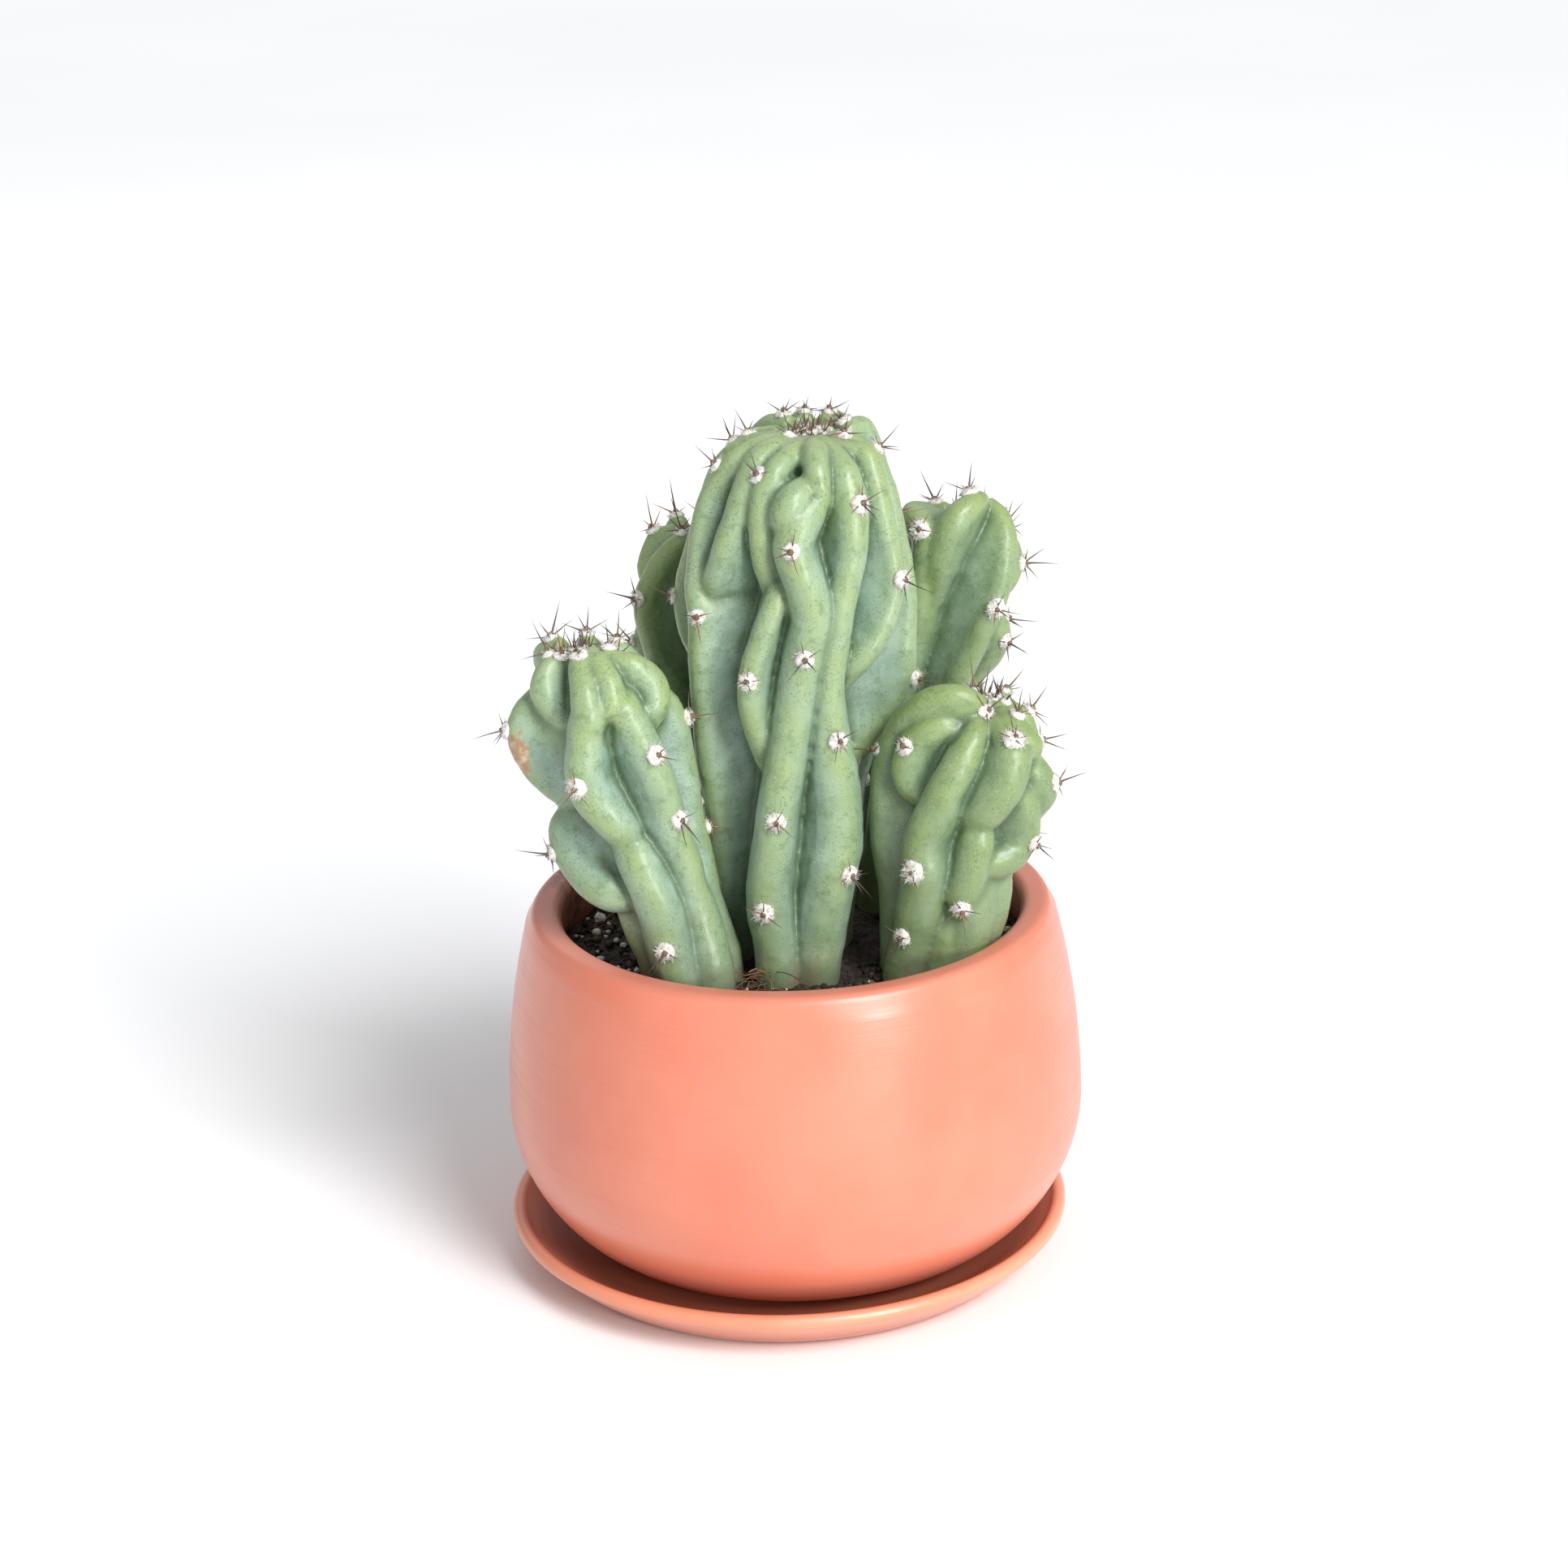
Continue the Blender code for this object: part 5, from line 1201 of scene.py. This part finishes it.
def add_spine(shape, root, way, length, chance, rusty=RUSTY_SHARE):
    """A needle that tapers from a swollen root and bends a little."""
    bend = way.orthogonal().normalized()
    bend.rotate(Matrix.Rotation(chance.uniform(0, math.tau), 3, way))
    path = []
    radii = []
    thick = chance.uniform(*SPINE_THICKNESS) * (0.75 + length / 0.02)
    for i in range(SPINE_STEPS + 1):
        share = i / SPINE_STEPS
        path.append(root + way * length * share + bend * length * 0.07 * share ** 2)
        radii.append(thick * (1.35 - 0.5 * share / 0.2 if share < 0.2 else
                              0.85 * (1 - (share - 0.2) / 0.8) + 0.03))
    points, faces = tube(path, radii, SPINE_SIDES)
    along = [i // SPINE_SIDES / SPINE_STEPS for i in range(len(points))]
    shape.add(points, faces, along=along, rust=1.0 if chance.random() < rusty else 0.0)


def add_spines(shape, point, normal, count, chance):
    """Spines that spread from one areole, one of them longer and straighter."""
    cushion, cushion_faces = lump(point + normal * 0.0009, 0.00075, chance, 0.2)
    shape.add(cushion, cushion_faces, along=0.2, rust=0.3)
    side = normal.orthogonal().normalized()
    first = chance.uniform(0, math.tau)
    for i in range(count):
        turn = first + math.tau * (i + chance.uniform(-0.25, 0.25)) / max(count - 1, 1)
        lean = math.radians(chance.uniform(*(LONG_SPINE_LEANS if i == 0 else SPINE_LEANS)))
        around = Matrix.Rotation(turn, 3, normal) @ side
        way = (normal * math.cos(lean) + around * math.sin(lean)).normalized()
        long = chance.uniform(*(LONG_SPINE_LENGTHS if i == 0 else SPINE_LENGTHS))
        add_spine(shape, point + normal * 0.0004, way, held_in(point, way, long), chance)


def held_in(point, way, length):
    """The length that keeps the spine's tip within SPINE_REACH of the model's own box."""
    low, high = CAD_BOX
    for axis in range(3):
        tip = point[axis] + way[axis] * length
        over = max(tip - high[axis], low[axis] - tip) - SPINE_REACH
        if over > 0:
            length = max(0.002, length - over / max(abs(way[axis]), 0.2))
    return length


def dress_stem(stem, skin, wool_material, spine_material):
    """Wool and spines on the column's areoles and growing point."""
    tree = skin_tree(skin)
    chance = random.Random(stem.name)
    wool = Shape()
    spines = Shape()
    places = list(AREOLES[stem.name])
    for top, direction, phase in PLAIN_RIBS[stem.name]:
        places.append((top - 1.5, direction, 1.0, 5))
        height = top - RIB_SHOULDER - SWELL_SPACING / 2
        while height > RIB_LOWEST:
            size = chance.uniform(0.9, 1.15)
            places.append((height, direction + rib_sway(phase, height), size, 4))
            height -= SWELL_SPACING
    for height, direction, size, count in places:
        point, normal = areole_place(tree, stem, height, direction)
        add_wool(wool, point, normal, size, chance)
        add_spines(spines, point, normal, count, chance)
    dress_crown(tree, stem, wool, spines, chance)
    wool_piece = wool.build(stem.name + "_wool", wool_material)
    declare(wool_piece, "areole_wool")
    spine_piece = spines.build(stem.name + "_spines", spine_material)
    declare(spine_piece, "spine")


def dress_crown(tree, stem, wool, spines, chance):
    """Small young areoles crowd round the growing point, with short rusty spines."""
    height, x, y, width, pads, rusty = CROWNS[stem.name]
    for i in range(pads):
        turn = math.tau * i * GOLDEN_TURN
        reach = width * math.sqrt((i + 0.5) / pads)
        above = Vector(((x + reach * math.cos(turn)) * MM, (y + reach * math.sin(turn)) * MM,
                        SOIL_LEVEL + (height + 8) * MM))
        point = tree.ray_cast(above, Vector((0, 0, -1)))[0]
        if point is None:
            continue
        up = Vector((math.cos(turn) * reach, math.sin(turn) * reach, 9)).normalized()
        add_wool(wool, point, up, chance.uniform(0.5, 0.8), chance)
        for _ in range(4):
            way = (up + Vector([chance.gauss(0, 0.35), chance.gauss(0, 0.35), 0])).normalized()
            length = held_in(point, way, chance.uniform(*CROWN_SPINE_LENGTHS))
            add_spine(spines, point, way, length, chance, rusty)


# ---- soil ----------------------------------------------------------------------------------------
def soil_height(x, y):
    """The soil's surface, crumbly and a little lower towards the wall."""
    bumps = (math.sin(310 * x + 1.3) * math.cos(270 * y + 0.4)
             + 0.6 * math.sin(530 * y + 400 * x) + 0.4 * math.cos(640 * x - 350 * y))
    outward = math.hypot(x, y) / POT_MOUTH_RADIUS
    return SOIL_LEVEL + SOIL_RELIEF * bumps / 2 - SOIL_SAG * outward ** 3


def make_soil(material):
    """Fills the pot as the CAD soil does, in one closed turned solid with a crumbled top."""
    top_radius = pot_inner_radius(SOIL_LEVEL - POT_BASE) - GAP
    shares = np.linspace(0, 1, 66)
    profile = [(top_radius * share, SOIL_LEVEL) for share in shares]
    rim_points = 1 + (len(shares) - 1) * SOIL_SEGMENTS
    turn_in = POT_FLOOR + POT_CORNER_HEIGHT
    for height in np.linspace(SOIL_LEVEL - POT_BASE - SOIL_EDGE, turn_in, 5):
        profile.append((pot_inner_radius(height) - GAP, POT_BASE + height))
    corner = pot_inner_radius(turn_in) - GAP
    bed = POT_BASE + POT_FLOOR + GAP
    profile += [(corner * POT_CORNER_SHARE - GAP, bed + POT_CORNER_RISE),
                (corner * 0.7, bed), (0.0, bed)]
    points, faces = turned(profile, SOIL_SEGMENTS)
    placed = []
    for i, (x, y, z) in enumerate(points):
        if i < rim_points:
            crumble = noise.turbulence(Vector((x * 420, y * 420, 0.0)), 3, True)
            z = soil_height(x, y) + SOIL_CRUMBLE * (crumble - 0.45)
        placed.append((x, y, z))
    shape = Shape()
    shape.add(placed, [f[::-1] for f in faces], tone=0.0)
    bed_piece = shape.build("soil_bed", material)
    declare(bed_piece, "potting_soil", "soil")


def free_place(chance, trees, margin, inner=0.0):
    """A place on the soil that is clear of the columns, or None."""
    radius = (POT_MOUTH_RADIUS - margin) * math.sqrt(chance.uniform(inner, 1))
    turn = chance.uniform(0, math.tau)
    x, y = radius * math.cos(turn), radius * math.sin(turn)
    spot = Vector((x, y, soil_height(x, y)))
    for tree in trees:
        _, normal, _, distance = tree.find_nearest(spot)
        hit, _, _, _ = tree.ray_cast(spot + Vector((0, 0, 0.05)), Vector((0, 0, -1)), 0.05)
        if distance < margin * 0.4 or (hit and distance < 0.004 and normal.z < -0.5):
            return None
    return spot


def scatter_soil(trees, soil_material, perlite_material, coir_material):
    """Crumbs, small perlite grains and coir fibres on the soil."""
    chance = random.Random(11)
    crumbs = Shape()
    for _ in range(CRUMBS):
        size = chance.uniform(*CRUMB_SIZES) * chance.uniform(0.6, 1)
        spot = free_place(chance, trees, size + 0.0004, inner=0.2)
        if spot:
            points, faces = lump(spot + Vector((0, 0, size * 0.3)), size, chance, 0.28, 0.8)
            crumbs.add(points, faces, tone=0.9 if chance.random() < PALE_CRUMBS else 0.0)
    declare(crumbs.build("soil_crumbs", soil_material), "potting_soil")
    grains = Shape()
    for _ in range(GRAINS):
        size = chance.uniform(*GRAIN_SIZES) * chance.uniform(0.5, 1)
        spot = free_place(chance, trees, size + 0.0006, inner=0.35)
        if spot:
            centre = spot + Vector((0, 0, size * 0.7 + 0.0005))
            grains.add(*lump(centre, size, chance, 0.25, 0.8))
    declare(grains.build("perlite_crumbs", perlite_material), "perlite")
    declare(coir_tufts(chance, coir_material), "potting_soil")


def coir_tufts(chance, material):
    """Loose fibres in tufts, each lying over the soil."""
    shape = Shape()
    for x, y, height, count in COIR_TUFTS:
        for _ in range(count):
            start = Vector(((x + chance.gauss(0, 2.0)) * MM, (y + chance.gauss(0, 1.6)) * MM, 0))
            pile = height * MM * math.sqrt(chance.random())
            start.z = soil_height(start.x, start.y) + 0.0004 + pile
            turn = chance.uniform(0, math.tau)
            length = chance.uniform(*COIR_LENGTHS)
            ahead = Vector((math.cos(turn), math.sin(turn), chance.uniform(0.0, 0.35)))
            swing = Vector((-ahead.y, ahead.x, 0)) * chance.uniform(-0.5, 0.5)
            path = []
            for i in range(COIR_STEPS + 1):
                share = i / COIR_STEPS
                point = start + ahead * length * share + swing * length * share ** 2
                point.z -= 0.25 * length * share ** 2
                point.z = max(point.z, soil_height(point.x, point.y) + 0.0003)
                path.append(point)
            if math.hypot(path[-1].x, path[-1].y) > POT_MOUTH_RADIUS - 0.0005:
                continue
            thick = chance.uniform(*COIR_THICKNESS)
            points, faces = tube(path, [thick] * COIR_STEPS + [thick * 0.4], 5)
            shape.add(points, faces, tone=chance.random())
    return shape.build("coir_fibres", material)


# ---- stage ---------------------------------------------------------------------------------------
def make_stage():
    """A pale floor, a broad key light from the front right, three weaker lights and a white sky."""
    floor = bpy.data.meshes.new("floor")
    corners = [(FLOOR_HALF * x, FLOOR_HALF * y, 0) for x, y in ((-1, -1), (1, -1), (1, 1), (-1, 1))]
    floor.from_pydata(corners, [], [(0, 1, 2, 3)])
    look = Look("pale_floor")
    look.colour(look.mix(look.ramp(look.clouds(3, 2), 0.3, 0.7), (0.93, 0.93, 0.94),
                         (0.95, 0.95, 0.955)))
    look.set(Roughness=1.0, Specular_IOR_Level=0.0)
    floor.materials.append(look.material)
    floor_object = bpy.data.objects.new("floor", floor)
    bpy.context.scene.collection.objects.link(floor_object)
    for name, kind, place, energy, size in LIGHTS:
        light = bpy.data.lights.new(name, kind)
        light.energy = energy
        if kind == "SUN":
            light.angle = size
        else:
            light.size = size
        lamp = bpy.data.objects.new(name, light)
        lamp.location = place
        toward = LIGHTS_AIM - Vector(place)
        lamp.rotation_euler = toward.to_track_quat("-Z", "Y").to_euler()
        bpy.context.scene.collection.objects.link(lamp)
    world = bpy.data.worlds.new("studio")
    world.use_nodes = True
    background = world.node_tree.nodes["Background"]
    background.inputs["Color"].default_value = (0.96, 0.98, 1.0, 1.0)
    background.inputs["Strength"].default_value = WORLD_STRENGTH
    bpy.context.scene.world = world
    bpy.context.scene.view_settings.view_transform = "Standard"


def make_camera():
    """Looks a little down on the pot, with a long lens and a slight roll."""
    pitch = math.radians(CAMERA_PITCH)
    roll = math.radians(CAMERA_ROLL)
    ahead = Vector((0, math.cos(pitch), -math.sin(pitch)))
    right = Vector((1, 0, 0))
    up = right.cross(ahead)
    turn = Matrix((right, up, -ahead)).transposed().to_4x4()
    data = bpy.data.cameras.new("camera")
    data.lens = CAMERA_LENS
    data.sensor_width = 36
    camera = bpy.data.objects.new("camera", data)
    camera.matrix_world = (Matrix.Translation(CAMERA_PLACE) @ turn
                           @ Matrix.Rotation(roll, 4, "Z"))
    bpy.context.scene.collection.objects.link(camera)
    bpy.context.scene.camera = camera


def main():
    make_camera()
    make_stage()
    make_saucer()
    make_pot()
    skin_material = skin_look()
    wool_material = wool_look()
    spine_material = spine_look()
    soil_material = soil_look()
    perlite_material = perlite_look()
    trees = []
    for stem in STEMS:
        skin = grow_stem(stem, skin_material)
        trees.append(skin_tree(skin))
        dress_stem(stem, skin, wool_material, spine_material)
    make_soil(soil_material)
    scatter_soil(trees, soil_material, perlite_material, coir_look())
    for name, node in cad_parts.items():
        if name.startswith("perlite_"):
            node.material_slots[0].material = perlite_material


main()
